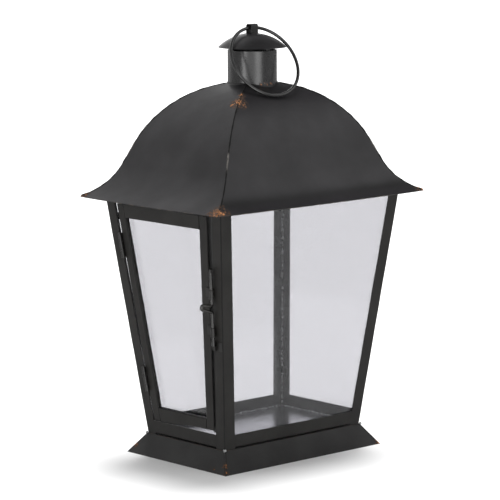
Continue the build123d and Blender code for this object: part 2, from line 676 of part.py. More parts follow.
strap_slot = (STRAP_SPAN - STRAP_SHEET) / 2
with BuildPart() as chimney_cap:
    with BuildSketch(Plane.XZ):
        with BuildLine():
            inner_rim = sqrt((DOME_SPHERE - SHEET) ** 2 - (CAP_RIM_Z - DOME_CENTRE_Z) ** 2)
            outer_arc = RadiusArc((0, CAP_RIM_Z + CAP_RISE), (CAP_RADIUS, CAP_RIM_Z), DOME_SPHERE)
            inner_arc = RadiusArc((0, CAP_RIM_Z + CAP_RISE - SHEET), (inner_rim, CAP_RIM_Z), DOME_SPHERE - SHEET)
            Line(outer_arc @ 0, inner_arc @ 0)
            Line(outer_arc @ 1, inner_arc @ 1)
        make_face()
    revolve(axis=Axis.Z)
    with BuildSketch(Plane.XY.offset(CAP_RIM_Z)):
        with Locations((0, strap_slot), (0, -strap_slot)):
            Rectangle(STRAP_WIDTH + 0.3, STRAP_SHEET + 0.3)
    extrude(amount=2 * CAP_RISE, mode=Mode.SUBTRACT)
save(chimney_cap, "chimney_cap")

# Three stays, soldered inside the tube, hold the cap above its rim.
with BuildPart() as cap_stays:
    stay_x = sqrt((CHIMNEY_RADIUS - SHEET) ** 2 - (STAY_WIDTH / 2) ** 2)
    tab_x = stay_x - STAY_TAB
    leg_top = underside(hypot(stay_x, STAY_WIDTH / 2)) - PLAY
    tab_top = underside(hypot(tab_x, STAY_WIDTH / 2)) - PLAY
    for index in range(STAY_COUNT):
        turn = 30 + 360 * index / STAY_COUNT
        with BuildSketch(Plane.XZ.rotated((0, 0, turn)).offset(-STAY_WIDTH / 2)):
            with BuildLine():
                Polyline((stay_x, STAY_FOOT_Z), (stay_x, leg_top), (tab_x, tab_top),
                         (tab_x, tab_top - THIN_SHEET), (stay_x - THIN_SHEET, leg_top - THIN_SHEET),
                         (stay_x - THIN_SHEET, STAY_FOOT_Z), close=True)
            make_face()
        extrude(amount=STAY_WIDTH)
save(cap_stays, "cap_stays")


# ---------------------------------------------------------------- ring strap and ring
with BuildPart() as ring_strap:
    half_span = STRAP_SPAN / 2
    with BuildSketch(Plane.YZ.offset(-STRAP_WIDTH / 2)):
        with BuildLine():
            Polyline((-half_span - STRAP_TOE, STRAP_FOOT_Z), (-half_span - STRAP_TOE, STRAP_FOOT_Z + STRAP_SHEET),
                     (-half_span, STRAP_FOOT_Z + STRAP_SHEET), (-half_span, TOP_Z), (half_span, TOP_Z),
                     (half_span, STRAP_FOOT_Z + STRAP_SHEET), (half_span + STRAP_TOE, STRAP_FOOT_Z + STRAP_SHEET),
                     (half_span + STRAP_TOE, STRAP_FOOT_Z), (half_span - STRAP_SHEET, STRAP_FOOT_Z),
                     (half_span - STRAP_SHEET, TOP_Z - STRAP_SHEET), (-half_span + STRAP_SHEET, TOP_Z - STRAP_SHEET),
                     (-half_span + STRAP_SHEET, STRAP_FOOT_Z), close=True)
        make_face()
    extrude(amount=STRAP_WIDTH)
    top_edges = ring_strap.edges().filter_by(Axis.X).group_by(Axis.Z)
    fillet(top_edges[-1], radius=2.4)
    inner_top = ring_strap.edges().filter_by(Axis.X).filter_by_position(Axis.Z, TOP_Z - STRAP_SHEET - 0.01,
                                                                       TOP_Z - STRAP_SHEET + 0.01)
    fillet(inner_top, radius=1.5)
save(ring_strap, "ring_strap")

lean, yaw = radians(RING_LEAN), radians(RING_YAW)
RING_DIRECTION = Vector(sin(yaw) * cos(lean), -cos(yaw) * cos(lean), -sin(lean))
RING_PIVOT_AXIS = Vector(cos(yaw), sin(yaw), 0)
ring_plane = Plane(origin=Vector(0, 0, RING_EYE_Z) + RING_DIRECTION * RING_RADIUS,
                   x_dir=RING_PIVOT_AXIS, z_dir=RING_PIVOT_AXIS.cross(RING_DIRECTION))
with BuildPart() as carry_ring:
    with BuildLine(ring_plane):
        CenterArc((0, 0), RING_RADIUS, 0, 360)
    wire_start = ring_plane.from_local_coords(Vector(RING_RADIUS, 0, 0))
    with BuildSketch(Plane(origin=wire_start, z_dir=RING_DIRECTION)):
        Circle(RING_WIRE)
    sweep()
save(carry_ring, "carry_ring")
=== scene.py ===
"""Looks of a painted sheet-metal candle lantern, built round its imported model.

Every new piece is a surface worked out with numpy in metres, in the model's own frame:
+Z up, the origin under the middle of the base, the door on the -X face.
"""
from __future__ import annotations

import json
import logging
from dataclasses import dataclass, field
from enum import Enum
from math import atan2, cos, pi, radians, sin

import bpy
import numpy as np
from mathutils import Matrix, Vector

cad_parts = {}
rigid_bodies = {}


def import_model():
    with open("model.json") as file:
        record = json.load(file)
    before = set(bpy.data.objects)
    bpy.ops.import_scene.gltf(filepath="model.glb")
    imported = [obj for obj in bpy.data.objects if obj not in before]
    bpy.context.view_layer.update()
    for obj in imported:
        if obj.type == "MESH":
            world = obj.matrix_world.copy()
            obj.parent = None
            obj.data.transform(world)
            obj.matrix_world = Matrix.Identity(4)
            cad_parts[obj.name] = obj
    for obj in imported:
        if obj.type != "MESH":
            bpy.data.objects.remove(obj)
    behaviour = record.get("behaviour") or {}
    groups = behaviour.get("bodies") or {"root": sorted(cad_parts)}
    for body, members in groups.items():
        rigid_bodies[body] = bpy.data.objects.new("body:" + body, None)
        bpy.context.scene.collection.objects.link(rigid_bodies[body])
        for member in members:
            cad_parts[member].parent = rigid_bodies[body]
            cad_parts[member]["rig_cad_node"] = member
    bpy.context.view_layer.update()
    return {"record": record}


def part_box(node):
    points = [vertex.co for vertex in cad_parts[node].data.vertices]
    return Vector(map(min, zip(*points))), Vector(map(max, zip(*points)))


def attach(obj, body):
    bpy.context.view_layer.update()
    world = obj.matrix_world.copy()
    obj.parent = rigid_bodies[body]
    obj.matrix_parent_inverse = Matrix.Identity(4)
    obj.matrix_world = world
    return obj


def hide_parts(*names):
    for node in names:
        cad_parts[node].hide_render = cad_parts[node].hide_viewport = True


LOG = logging.getLogger("lantern")
MM = 0.001
SAME_HEIGHT = 0.1 * MM  # vertices this close to an end of a piece belong to it
SAME_FACE = 0.05 * MM  # vertices this close to a plane lie in it

Array = np.ndarray
Socket = bpy.types.NodeSocket
Piece = bpy.types.Object
Marks = dict[str, Array]
MARK_NAMES = ("worn", "inner", "seam")
CORNERS = ((-1, -1), (1, -1), (-1, 1), (1, 1))


# ------------------------------------------------------------------ reading the frame
class Side(Enum):
    """The four sides of the lantern, as the outward direction of each."""

    FRONT = (0, -1)
    BACK = (0, 1)
    LEFT = (-1, 0)
    RIGHT = (1, 0)

    @property
    def label(self) -> str:
        """Name of the side as the model's nodes write it."""
        return self.name.lower()

    @property
    def wide(self) -> bool:
        """True for the two sides whose faces run along X."""
        return self.value[0] == 0


def vertices(node: str) -> Array:
    """Vertices of a CAD node, one row each, in metres.

    Args:
        node: the CAD node's name.

    Returns:
        An array of points.
    """
    mesh = bpy.data.objects[node].data
    points = np.empty(len(mesh.vertices) * 3, np.float32)
    mesh.vertices.foreach_get("co", points)
    return points.reshape(-1, 3).astype(float)


def furthest(node: str, direction: tuple[float, float, float] | Array) -> Array:
    """Vertex of a CAD node that lies furthest along a direction."""
    points = vertices(node)
    return points[np.argmax(points @ np.asarray(direction, float))]


def unit(vector: Array) -> Array:
    """The vector at length one."""
    return vector / np.linalg.norm(vector)


def eased(share: Array) -> Array:
    """Smooth step of a share from 0 to 1: 3 s^2 - 2 s^3."""
    return share * share * (3 - 2 * share)


def bell(distance: Array, width: float) -> Array:
    """A mark that fades to both sides of a line: exp(-(distance / width)^2)."""
    return np.exp(-(distance / width) ** 2)


def path_length(first: Array, second: Array) -> Array:
    """Length along a line from its start to each point, from two coordinates of the points."""
    return np.concatenate([[0], np.cumsum(np.hypot(np.diff(first), np.diff(second)))])


@dataclass(frozen=True)
class Taper:
    """A four-sided block whose half lengths change evenly with height.

    Attributes:
        foot: half length along X, half length along Y and height of the lower corners.
        top: the same for the upper corners.
    """

    foot: Array
    top: Array

    @classmethod
    def of_nodes(cls, node: str) -> "Taper":
        """Reads the block from the front right corner of a CAD node.

        Args:
            node: the CAD node's name.

        Returns:
            The block.
        """
        foot = furthest(node, (1, -1, -100))
        top = furthest(node, (1, -1, 100))
        return cls(np.abs(foot), np.abs(top))

    def half(self, axis: int, height: Array | float) -> Array | float:
        """Half length along X (0) or Y (1) at a height."""
        share = (height - self.foot[2]) / (self.top[2] - self.foot[2])
        return self.foot[axis] + (self.top[axis] - self.foot[axis]) * share


# ----------------------------------------------------------------------- mesh building
def turn_outwards(mesh: bpy.types.Mesh, points: Array) -> None:
    """Turns the faces of a closed shell round if they look inwards.

    A shell's signed volume is the sum of a . (b x c) / 6 over its triangles, and it is
    negative where the faces look inwards.

    Args:
        mesh: the closed shell.
        points: one row for each of its vertices.
    """
    mesh.calc_loop_triangles()
    corners = np.empty(3 * len(mesh.loop_triangles), np.int32)
    mesh.loop_triangles.foreach_get("vertices", corners)
    first, second, third = np.moveaxis(points[corners.reshape(-1, 3)], 1, 0)
    if np.sum(first * np.cross(second, third)) < 0:
        mesh.flip_normals()


def finish_mesh(name: str, points: Array, faces: list, marks: Marks | None = None,
                crease: float = 32.0) -> Piece:
    """Makes an object from points and faces, smooth but for its sharp edges.

    Args:
        name: the piece's name.
        points: one row for each vertex, in metres.
        faces: vertex indices of each face, all turned the same way.
        marks: values of each vertex, 0 to 1: "worn" on rubbed edges, "inner" on the
        sheet's inside, and a dark mark on dark joints and on the roof's painted shade.
        Each is kept as an attribute.
        crease: edges that turn by more than this many degrees stay sharp.

    Returns:
        The new object, at the origin.
    """
    mesh = bpy.data.meshes.new(name)
    mesh.from_pydata(points.tolist(), [], faces)
    turn_outwards(mesh, points)
    mesh.polygons.foreach_set("use_smooth", np.ones(len(mesh.polygons), bool))
    mesh.set_sharp_from_angle(angle=radians(crease))
    for label in MARK_NAMES:
        values = np.asarray((marks or {}).get(label, np.zeros(len(points))), np.float32)
        mesh.attributes.new(label, "FLOAT", "POINT").data.foreach_set("value", values.ravel())
    mesh.validate()
    mesh.update()
    piece = bpy.data.objects.new(name, mesh)
    bpy.context.scene.collection.objects.link(piece)
    return piece


def quads(rows: int, columns: int, start: int = 0, wrap_rows: bool = False,
          wrap_columns: bool = False) -> Array:
    """Quad faces of a grid of vertices numbered row by row from start.

    Args:
        rows: rows of vertices.
        columns: vertices in a row.
        start: the first vertex's number.
        wrap_rows: True if the last row joins the first.
        wrap_columns: True if the last column joins the first.

    Returns:
        The four vertex numbers of each face.
    """
    index = start + np.arange(rows * columns).reshape(rows, columns)
    if wrap_rows:
        index = np.vstack([index, index[:1]])
    if wrap_columns:
        index = np.hstack([index, index[:, :1]])
    corners = index[:-1, :-1], index[:-1, 1:], index[1:, 1:], index[1:, :-1]
    return np.stack(corners, -1).reshape(-1, 4)


def sheet_shell(name: str, outer: Array, inner: Array, marks: Marks) -> Piece:
    """Closed sheet between two grids of the same shape, joined round their rim.

    Args:
        name: the piece's name.
        outer: grid of points, rows by columns by three, on the outer surface.
        inner: the same points moved in by the sheet's thickness.
        marks: values of each grid point, used on both sides.

    Returns:
        The new object.
    """
    rows, columns = outer.shape[:2]
    count = rows * columns
    top = quads(rows, columns)
    under = quads(rows, columns, count)[:, ::-1]
    index = np.arange(count).reshape(rows, columns)
    rim = np.concatenate([index[0, :], index[1:, -1], index[-1, -2::-1], index[-2:0:-1, 0]])
    following = np.roll(rim, -1)
    edge = np.stack([following, rim, rim + count, following + count], -1)
    faces = np.vstack([top, under, edge])
    points = np.concatenate([outer.reshape(-1, 3), inner.reshape(-1, 3)])
    both = {label: np.tile(np.broadcast_to(values, (rows, columns)).ravel(), 2)
            for label, values in marks.items()}
    both["inner"] = np.repeat([0.0, 1.0], count)
    return finish_mesh(name, points, faces.tolist(), both)


def bar(name: str, rings: Array, marks: Marks | None = None, closed: bool = False,
        crease: float = 32.0) -> Piece:
    """Solid whose cross-section, a closed outline, is carried through a row of stations.

    Args:
        name: the piece's name.
        rings: stations by outline points by three.
        marks: values of each outline point, the same at each station, or of every point.
        closed: True if the last station joins the first.
        crease: edges that turn by more than this many degrees stay sharp.

    Returns:
        The new object.
    """
    stations, count = rings.shape[:2]
    faces = quads(stations, count, wrap_rows=closed, wrap_columns=True).tolist()
    if not closed:
        faces.append(list(range(count))[::-1])
        faces.append(list(range((stations - 1) * count, stations * count)))
    spread = {label: np.broadcast_to(values, (stations, count)).ravel()
              for label, values in (marks or {}).items()}
    return finish_mesh(name, rings.reshape(-1, 3), faces, spread, crease)


def folded_sheet(route: list[tuple[float, float]], thickness: float, radius: float,
                 inner_left: bool = True, steps: int = 4) -> tuple[Array, Marks]:
    """Closed outline of a folded strip of sheet, seen along its folds.

    Each inner point of the route becomes an arc, the arc is offset by half a thickness
    to both sides, and guard points beside every bend keep the wear close to it.

    Args:
        route: points of the strip's middle line, in metres.
        thickness: the sheet's thickness.
        radius: bend radius of the middle line.
        inner_left: True if the sheet's inside lies to the left of the route.
        steps: chords of each bend.

    Returns:
        The outline's points, and its marks: rims and bends worn, the inside, and the
        bends alone as seams.
    """
    points = [np.array(p, float) for p in route]
    middle, normals, wear, seam = [], [], [], []

    def lay(point: Array, normal: Array, worn: float, bend: float) -> None:
        """Adds one station of the middle line.

        Args:
            point: where it is.
            normal: unit vector to the left of the line.
            worn: how worn the sheet is there.
            bend: 1 inside a bend.
        """
        middle.append(point)
        normals.append(normal)
        wear.append(worn)
        seam.append(bend)

    def left_of(direction: Array) -> Array:
        """The direction turned a quarter to the left."""
        return np.array([-direction[1], direction[0]])

    guard = 0.8 * thickness
    first = unit(points[1] - points[0])
    lay(points[0], left_of(first), 1.0, 0.0)
    lay(points[0] + guard * first, left_of(first), 0.0, 0.0)
    for before, corner, after in zip(points, points[1:], points[2:]):
        enter, leave = unit(corner - before), unit(after - corner)
        turn = atan2(enter[0] * leave[1] - enter[1] * leave[0], float(enter @ leave))
        reach = radius * abs(np.tan(turn / 2))
        lay(corner - (reach + guard) * enter, left_of(enter), 0.0, 0.0)
        centre = corner - reach * enter + np.sign(turn) * radius * left_of(enter)
        for step in range(steps + 1):
            angle = turn * step / steps
            spin = np.array([[cos(angle), -sin(angle)], [sin(angle), cos(angle)]])
            normal = spin @ left_of(enter)
            lay(centre - np.sign(turn) * radius * normal, normal, 1.0, float(0 < step < steps))
        lay(corner + (reach + guard) * leave, left_of(leave), 0.0, 0.0)
    last = unit(points[-1] - points[-2])
    lay(points[-1] - guard * last, left_of(last), 0.0, 0.0)
    lay(points[-1], left_of(last), 1.0, 0.0)
    line, side = np.array(middle), np.array(normals)
    outline = np.concatenate([line + side * thickness / 2, (line - side * thickness / 2)[::-1]])
    inside = np.repeat([1.0, 0.0] if inner_left else [0.0, 1.0], len(line))
    marks = {"worn": np.concatenate([wear, wear[::-1]]), "inner": inside,
             "seam": np.concatenate([seam, seam[::-1]])}
    return outline, marks


def wire(name: str, path: Array, radius: float | Array, sides: int = 16, closed: bool = False,
         marks: Marks | None = None) -> Piece:
    """Round wire along a path: a circle carried by frames that turn as little as they can.

    Args:
        name: the piece's name.
        path: points of the wire's middle line.
        radius: the wire's radius, or one for each point.
        sides: points of the circle.
        closed: True for a ring.
        marks: values of the whole surface, one number each.

    Returns:
        The new object, with rounded ends unless it is closed.
    """
    radii = np.broadcast_to(np.asarray(radius, float), (len(path),)).copy()
    if not closed:
        lead = unit(path[0] - path[1])
        trail = unit(path[-1] - path[-2])
        bulge = np.array([0.9, 0.55, 0.0])
        swell = np.sqrt(1 - bulge ** 2)
        start = path[0] + lead * radii[0] * (bulge[:, None] - 0.9)
        end = path[-1] + trail * radii[-1] * (bulge[::-1, None] - 0.9)
        path = np.concatenate([start, path[1:-1], end])
        radii = np.concatenate([radii[0] * swell, radii[1:-1], radii[-1] * swell[::-1]])
    following = np.roll(path, -1, 0) if closed else np.vstack([path[1:], 2 * path[-1] - path[-2]])
    earlier = np.roll(path, 1, 0) if closed else np.vstack([2 * path[0] - path[1], path[:-1]])
    tangents = following - earlier
    tangents /= np.linalg.norm(tangents, axis=1)[:, None]
    side = unit(np.cross(tangents[0], [0.31, 0.27, 0.91]))
    sides_row = []
    for tangent in tangents:
        side = unit(side - tangent * (side @ tangent))
        sides_row.append(side)
    across = np.array(sides_row)
    up = np.cross(tangents, across)
    angle = np.linspace(0, 2 * pi, sides, endpoint=False)
    circle = (np.cos(angle)[None, :, None] * across[:, None]
              + np.sin(angle)[None, :, None] * up[:, None])
    rings = path[:, None] + circle * radii[:, None, None]
    return bar(name, rings, marks, closed, crease=60.0)


def lathe(name: str, outline: Array, marks: Marks | None = None, segments: int = 96,
          wobble: float = 0.0) -> Piece:
    """Ring-shaped solid: a closed outline of radius and height turned about Z.

    Args:
        name: the piece's name.
        outline: radius and height of each point of the closed outline.
        marks: values of each outline point.
        segments: stations round the axis.
        wobble: how far it is out of round, as a share of the radius.

    Returns:
        The new object.
    """
    angle = np.linspace(0, 2 * pi, segments, endpoint=False)
    swell = 1 + wobble * np.sin(3 * angle + 0.6)
    radius = outline[None, :, 0] * swell[:, None]
    rings = np.stack([radius * np.cos(angle)[:, None], radius * np.sin(angle)[:, None],
                      np.broadcast_to(outline[None, :, 1], radius.shape)], -1)
    return bar(name, rings, marks, closed=True)


def ripple(points: Array, size: float, pitch: float, seed: int) -> Array:
    """Soft unevenness of hand-worked sheet: a sum of four slow waves.

    Args:
        points: any grid of points, with three coordinates last.
        size: largest height of the waves.
        pitch: length of the longest wave.
        seed: chooses the waves' directions and phases.

    Returns:
        One height for each point.
    """
    dice = np.random.default_rng(seed)
    total = np.zeros(points.shape[:-1])
    for order in range(4):
        direction = unit(dice.normal(size=3)) * 2 * pi / (pitch / (1 + 0.6 * order))
        total += np.sin(points @ direction + dice.uniform(0, 2 * pi)) / (1 + order)
    return size * total / 2.1


# --------------------------------------------------------------------------- materials
class Tree:
    """A node tree, written as short calls."""

    def __init__(self, tree: bpy.types.NodeTree) -> None:
        """Takes over an empty or a new node tree.

        Args:
            tree: the node tree.
        """
        self.nodes, self.links = tree.nodes, tree.links

    def plug(self, socket: Socket, value: Socket | float | tuple) -> None:
        """Links a socket to another, or sets its value.

        Args:
            socket: the input.
            value: an output to link, or the value itself.
        """
        if isinstance(value, bpy.types.NodeSocket):
            self.links.new(value, socket)
        else:
            socket.default_value = value

    def math(self, operation: str, *values: Socket | float, clamp: bool = False) -> Socket:
        """One Math node.

        Args:
            operation: the node's operation.
            values: its inputs, in order.
            clamp: True to keep the result between 0 and 1.

        Returns:
            The result.
        """
        node = self.nodes.new("ShaderNodeMath")
        node.operation = operation
        node.use_clamp = clamp
        for socket, value in zip(node.inputs, values):
            self.plug(socket, value)
        return node.outputs[0]

    def measure(self, operation: str, first: Socket, second: tuple[float, float, float]) -> Socket:
        """One Vector Math node whose result is a number.

        Args:
            operation: the node's operation.
            first: a vector.
            second: a fixed vector.

        Returns:
            The number.
        """
        node = self.nodes.new("ShaderNodeVectorMath")
        node.operation = operation
        self.plug(node.inputs[0], first)
        self.plug(node.inputs[1], second)
        return node.outputs["Value"]

    def ramp(self, value: Socket, low: float, high: float, to_low: float = 0.0,
             to_high: float = 1.0, smooth: bool = True) -> Socket:
        """Maps a value between two limits onto two others.

        Args:
            value: the value.
            low: the limit that becomes to_low.
            high: the limit that becomes to_high.
            to_low: the result at low and below.
            to_high: the result at high and above.
            smooth: True for an eased step, False for a straight line.

        Returns:
            The result.
        """
        node = self.nodes.new("ShaderNodeMapRange")
        node.interpolation_type = "SMOOTHSTEP" if smooth else "LINEAR"
        self.links.new(value, node.inputs["Value"])
        limits = {"From Min": low, "From Max": high, "To Min": to_low, "To Max": to_high}
        for label, number in limits.items():
            node.inputs[label].default_value = number
        return node.outputs["Result"]

    def height(self, place: Socket) -> Socket:
        """Z of a vector.

        Args:
            place: the vector.

        Returns:
            The number.
        """
        node = self.nodes.new("ShaderNodeSeparateXYZ")
        self.links.new(place, node.inputs[0])
        return node.outputs["Z"]


class Shader(Tree):
    """A material's node tree, with its Principled shader and the piece's own coordinates."""

    def __init__(self, name: str) -> None:
        """Starts the material.

        Args:
            name: the material's name.
        """
        self.material = bpy.data.materials.new(name)
        self.material.use_nodes = True
        super().__init__(self.material.node_tree)
        self.principled = self.nodes["Principled BSDF"]
        self.output = self.nodes["Material Output"]
        self.position = self.nodes.new("ShaderNodeTexCoord").outputs["Object"]

    def noise(self, scale: float, detail: float = 3.0, rough: float = 0.55,
              stretch: tuple | None = None, offset: float = 0.0) -> Socket:
        """Noise on the piece's coordinates, with scale in cycles per metre.

        Args:
            scale: cycles in a metre.
            detail: octaves.
            rough: weight of the finer octaves.
            stretch: scale along each axis, before the noise.
            offset: shift in metres, which makes two noises differ.

        Returns:
            The noise, 0 to 1.
        """
        place = self.position
        if stretch or offset:
            mapping = self.nodes.new("ShaderNodeMapping")
            mapping.inputs["Scale"].default_value = stretch or (1, 1, 1)
            mapping.inputs["Location"].default_value = (offset, offset * 0.7, -offset)
            self.links.new(place, mapping.inputs["Vector"])
            place = mapping.outputs[0]
        node = self.nodes.new("ShaderNodeTexNoise")
        node.inputs["Scale"].default_value = scale
        node.inputs["Detail"].default_value = detail
        node.inputs["Roughness"].default_value = rough
        self.links.new(place, node.inputs["Vector"])
        return node.outputs["Fac"]

    def mix(self, share: Socket | float, first: Socket | tuple, second: Socket | tuple) -> Socket:
        """Mixes two colours.

        Args:
            share: the second colour's share.
            first: one colour.
            second: the other.

        Returns:
            The mixed colour.
        """
        node = self.nodes.new("ShaderNodeMix")
        node.data_type = "RGBA"
        for index, value in ((0, share), (6, first), (7, second)):
            self.plug(node.inputs[index], value)
        return node.outputs[2]

    def bump(self, height: Socket, distance: float, strength: float = 1.0,
             under: Socket | None = None) -> Socket:
        """Bump from a height, laid over an earlier one if given.

        Args:
            height: the height, 0 to 1.
            distance: height in metres of a full step.
            strength: its strength.
            under: the bump that it lies over.

        Returns:
            The normal.
        """
        node = self.nodes.new("ShaderNodeBump")
        node.inputs["Distance"].default_value = distance
        node.inputs["Strength"].default_value = strength
        self.links.new(height, node.inputs["Height"])
        if under is not None:
            self.links.new(under, node.inputs["Normal"])
        return node.outputs[0]

    def attribute(self, name: str) -> Socket:
        """A float attribute of the mesh.

        Args:
            name: the attribute's name.

        Returns:
            Its value.
        """
        node = self.nodes.new("ShaderNodeAttribute")
        node.attribute_name = name
        return node.outputs["Fac"]


@dataclass(frozen=True)
class Spot:
    """A patch of rust: where it is and how far it reaches, in metres.

    Attributes:
        place: its middle.
        reach: how far it spreads.
    """

    place: tuple[float, float, float]
    reach: float


# Dark of the joints, also used for the roof's painted shade.
JOINT_DIRT_AND_SHADE = (0.0022, 0.0021, 0.002, 1)
RUST_STAIN = (0.045, 0.027, 0.018, 1)
RUST_DARK = (0.10, 0.040, 0.018, 1)
RUST_BRIGHT = (0.47, 0.20, 0.075, 1)


@dataclass(frozen=True)
class PaintedSheet:
    """Satin black paint on sheet metal, with blotches, fine grain, worn folds, dark joints, painted
    shade and rust.

    Attributes:
        name: the material's name.
        colour: the paint, linear.
        pale: the paint where it is dusty and rubbed.
        inner: the thinner coat on the inside of the sheet.
        roughness: its roughness.
        specular: its specular level.
        wear: how far the wear spreads from worn folds and rims, 0 to 1.
        bare: colour of a worn edge.
        grain: height of the paint's fine grain.
        rust: where the steel has rusted through.
    """

    name: str
    colour: tuple[float, float, float]
    pale: tuple[float, float, float]
    inner: tuple[float, float, float] = (0.062, 0.063, 0.065)
    roughness: float = 0.42
    specular: float = 0.4
    wear: float = 0.3
    bare: tuple[float, float, float] = (0.10, 0.078, 0.058)
    grain: float = 0.00005
    rust: tuple[Spot, ...] = ()

    def build(self) -> bpy.types.Material:
        """Makes the material.

        Returns:
            The material.
        """
        tree = Shader(self.name)
        blotch = tree.noise(24, 5, 0.6)
        mottle = tree.noise(170, 4, 0.65)
        paint = tree.mix(tree.ramp(blotch, 0.32, 0.72), (*self.colour, 1), (*self.pale, 1))
        dust = tree.math("MULTIPLY", tree.ramp(mottle, 0.56, 0.8), 0.22)
        paint = tree.mix(dust, paint, (*[c * 1.8 for c in self.pale], 1))
        inside = tree.mix(tree.ramp(tree.noise(330, 4, 0.7, offset=0.6), 0.35, 0.7),
                          (*[c * 0.55 for c in self.inner], 1), (*[c * 1.3 for c in self.inner], 1))
        paint = tree.mix(tree.ramp(tree.attribute("inner"), 0.5, 1.0), paint, inside)
        exposed = tree.math("ADD", tree.attribute("worn"), tree.math("MULTIPLY", mottle, 0.8))
        rubbed = tree.ramp(exposed, 1.46 - 0.3 * self.wear, 1.74 - 0.3 * self.wear)
        paint = tree.mix(rubbed, paint, (*self.bare, 1))
        # Darkens joints and bends, and paints the roof's shade in its flare, round the tube and
        # beside the hips.
        paint = tree.mix(tree.attribute("seam"), paint, JOINT_DIRT_AND_SHADE)
        rough = tree.ramp(blotch, 0.3, 0.75, self.roughness + 0.05, self.roughness - 0.05,
                          smooth=False)
        rough = tree.math("ADD", rough, tree.math("MULTIPLY", dust, 0.3))
        grain = tree.math("ADD", tree.noise(1500, 3, 0.6), tree.math("MULTIPLY", mottle, 1.4))
        scratch = tree.noise(60, 4, 0.7, stretch=(1.0, 1.0, 9.0), offset=0.3)
        normal = tree.bump(scratch, 0.00004, 0.5, tree.bump(grain, self.grain))
        if self.rust:
            rusty, stain = self.rust_masks(tree)
            paint = tree.mix(stain, paint, RUST_STAIN)
            rust_colour = tree.mix(tree.ramp(tree.noise(800, 3, 0.7), 0.38, 0.62),
                                   RUST_DARK, RUST_BRIGHT)
            paint = tree.mix(rusty, paint, rust_colour)
            rough = tree.math("ADD", rough, tree.math("MULTIPLY", stain, 0.4), clamp=True)
            pits = tree.math("MULTIPLY", stain, tree.noise(1000, 3, 0.7, offset=0.9))
            normal = tree.bump(pits, 0.0002, 1.0, normal)
        tree.plug(tree.principled.inputs["Base Color"], paint)
        tree.plug(tree.principled.inputs["Roughness"], rough)
        tree.plug(tree.principled.inputs["Normal"], normal)
        tree.principled.inputs["Specular IOR Level"].default_value = self.specular
        return tree.material

    def rust_masks(self, tree: Shader) -> tuple[Socket, Socket]:
        """Rust flecks and the brown stain round them, from distances to the spots.

        A fleck shows where the noise, raised near a spot, passes a threshold, so flecks
        crowd together at the spot and thin out towards its reach.

        Args:
            tree: the paint's node tree.

        Returns:
            How far the flecks and the stain cover the paint.
        """
        nearest: Socket | float = -1.0
        for spot in self.rust:
            gap = tree.measure("DISTANCE", tree.position, spot.place)
            near = tree.math("SUBTRACT", 1.0, tree.math("DIVIDE", gap, spot.reach))
            nearest = tree.math("MAXIMUM", near, nearest)
        fleck = tree.noise(470, 3.5, 0.7, offset=0.5, stretch=(1.0, 1.0, 0.75))
        broken = tree.math("ADD", fleck, tree.math("MULTIPLY", nearest, 0.17))
        inside = tree.ramp(nearest, 0.0, 0.12)
        rusty = tree.math("MULTIPLY", tree.ramp(broken, 0.645, 0.70), inside)
        stain = tree.math("MULTIPLY", tree.ramp(broken, 0.50, 0.62), inside)
        return rusty, tree.math("MULTIPLY", stain, 0.75)


@dataclass(frozen=True)
class Glass:
    """Clear float glass, a little dusty, that lets the lamps through.

    Attributes:
        name: the material's name.
        tint: colour of the light that passes.
        dust: roughness that the dust adds.
        shade: colour of the panes' shadows.
    """

    name: str = "pane_glass"
    tint: tuple[float, float, float] = (0.652, 0.650, 0.668)
    dust: float = 0.05
    shade: tuple[float, float, float] = (0.88, 0.88, 0.90)

    def build(self) -> bpy.types.Material:
        """Makes the material.

        Returns:
            The material.
        """
        tree = Shader(self.name)
        shader = tree.principled
        shader.inputs["Base Color"].default_value = (*self.tint, 1)
        shader.inputs["Transmission Weight"].default_value = 1.0
        shader.inputs["IOR"].default_value = 1.48
        film = tree.noise(14, 5, 0.6)
        smear = tree.noise(55, 4, 0.7, stretch=(1, 1, 0.3), offset=0.2)
        spread = tree.ramp(tree.math("MULTIPLY", film, smear), 0.16, 0.5)
        dusty = tree.math("MULTIPLY", spread, self.dust)
        tree.plug(shader.inputs["Roughness"], tree.math("ADD", dusty, 0.012))
        clear = tree.nodes.new("ShaderNodeBsdfTransparent")
        clear.inputs["Color"].default_value = (*self.shade, 1)
        rays = tree.nodes.new("ShaderNodeLightPath")
        choice = tree.nodes.new("ShaderNodeMixShader")
        tree.links.new(rays.outputs["Is Shadow Ray"], choice.inputs[0])
        tree.links.new(shader.outputs[0], choice.inputs[1])
        tree.links.new(clear.outputs[0], choice.inputs[2])
        tree.links.new(choice.outputs[0], tree.output.inputs["Surface"])
        return tree.material


@dataclass(frozen=True)
class BareMetal:
    """Galvanised sheet, tinned strip or solder: dull bright metal with a mottled skin.

    Attributes:
        name: the material's name.
        colour: the clean metal, linear.
        dark: the metal where it has dulled.
        roughness: its roughness.
        metallic: how metallic it is.
        grain: height of the fine grain.
        patch: patches in a metre, of the dulled metal.
    """

    name: str
    colour: tuple[float, float, float]
    dark: tuple[float, float, float]
    roughness: float = 0.35
    metallic: float = 1.0
    grain: float = 0.00008
    patch: float = 60.0

    def build(self) -> bpy.types.Material:
        """Makes the material.

        Returns:
            The material.
        """
        tree = Shader(self.name)
        spangle = tree.noise(self.patch, 4, 0.6)
        stain = tree.noise(16, 5, 0.65, offset=0.4)
        colour = tree.mix(tree.ramp(spangle, 0.4, 0.66), (*self.dark, 1), (*self.colour, 1))
        stained = tree.math("MULTIPLY", tree.ramp(stain, 0.5, 0.8), 0.5)
        colour = tree.mix(stained, colour, (*self.dark, 1))
        tree.plug(tree.principled.inputs["Base Color"], colour)
        tree.principled.inputs["Metallic"].default_value = self.metallic
        rough = tree.ramp(spangle, 0.3, 0.75, self.roughness + 0.06, self.roughness - 0.03,
                          smooth=False)
        tree.plug(tree.principled.inputs["Roughness"], rough)
        tree.plug(tree.principled.inputs["Normal"], tree.bump(tree.noise(1200, 3, 0.6), self.grain))
        return tree.material


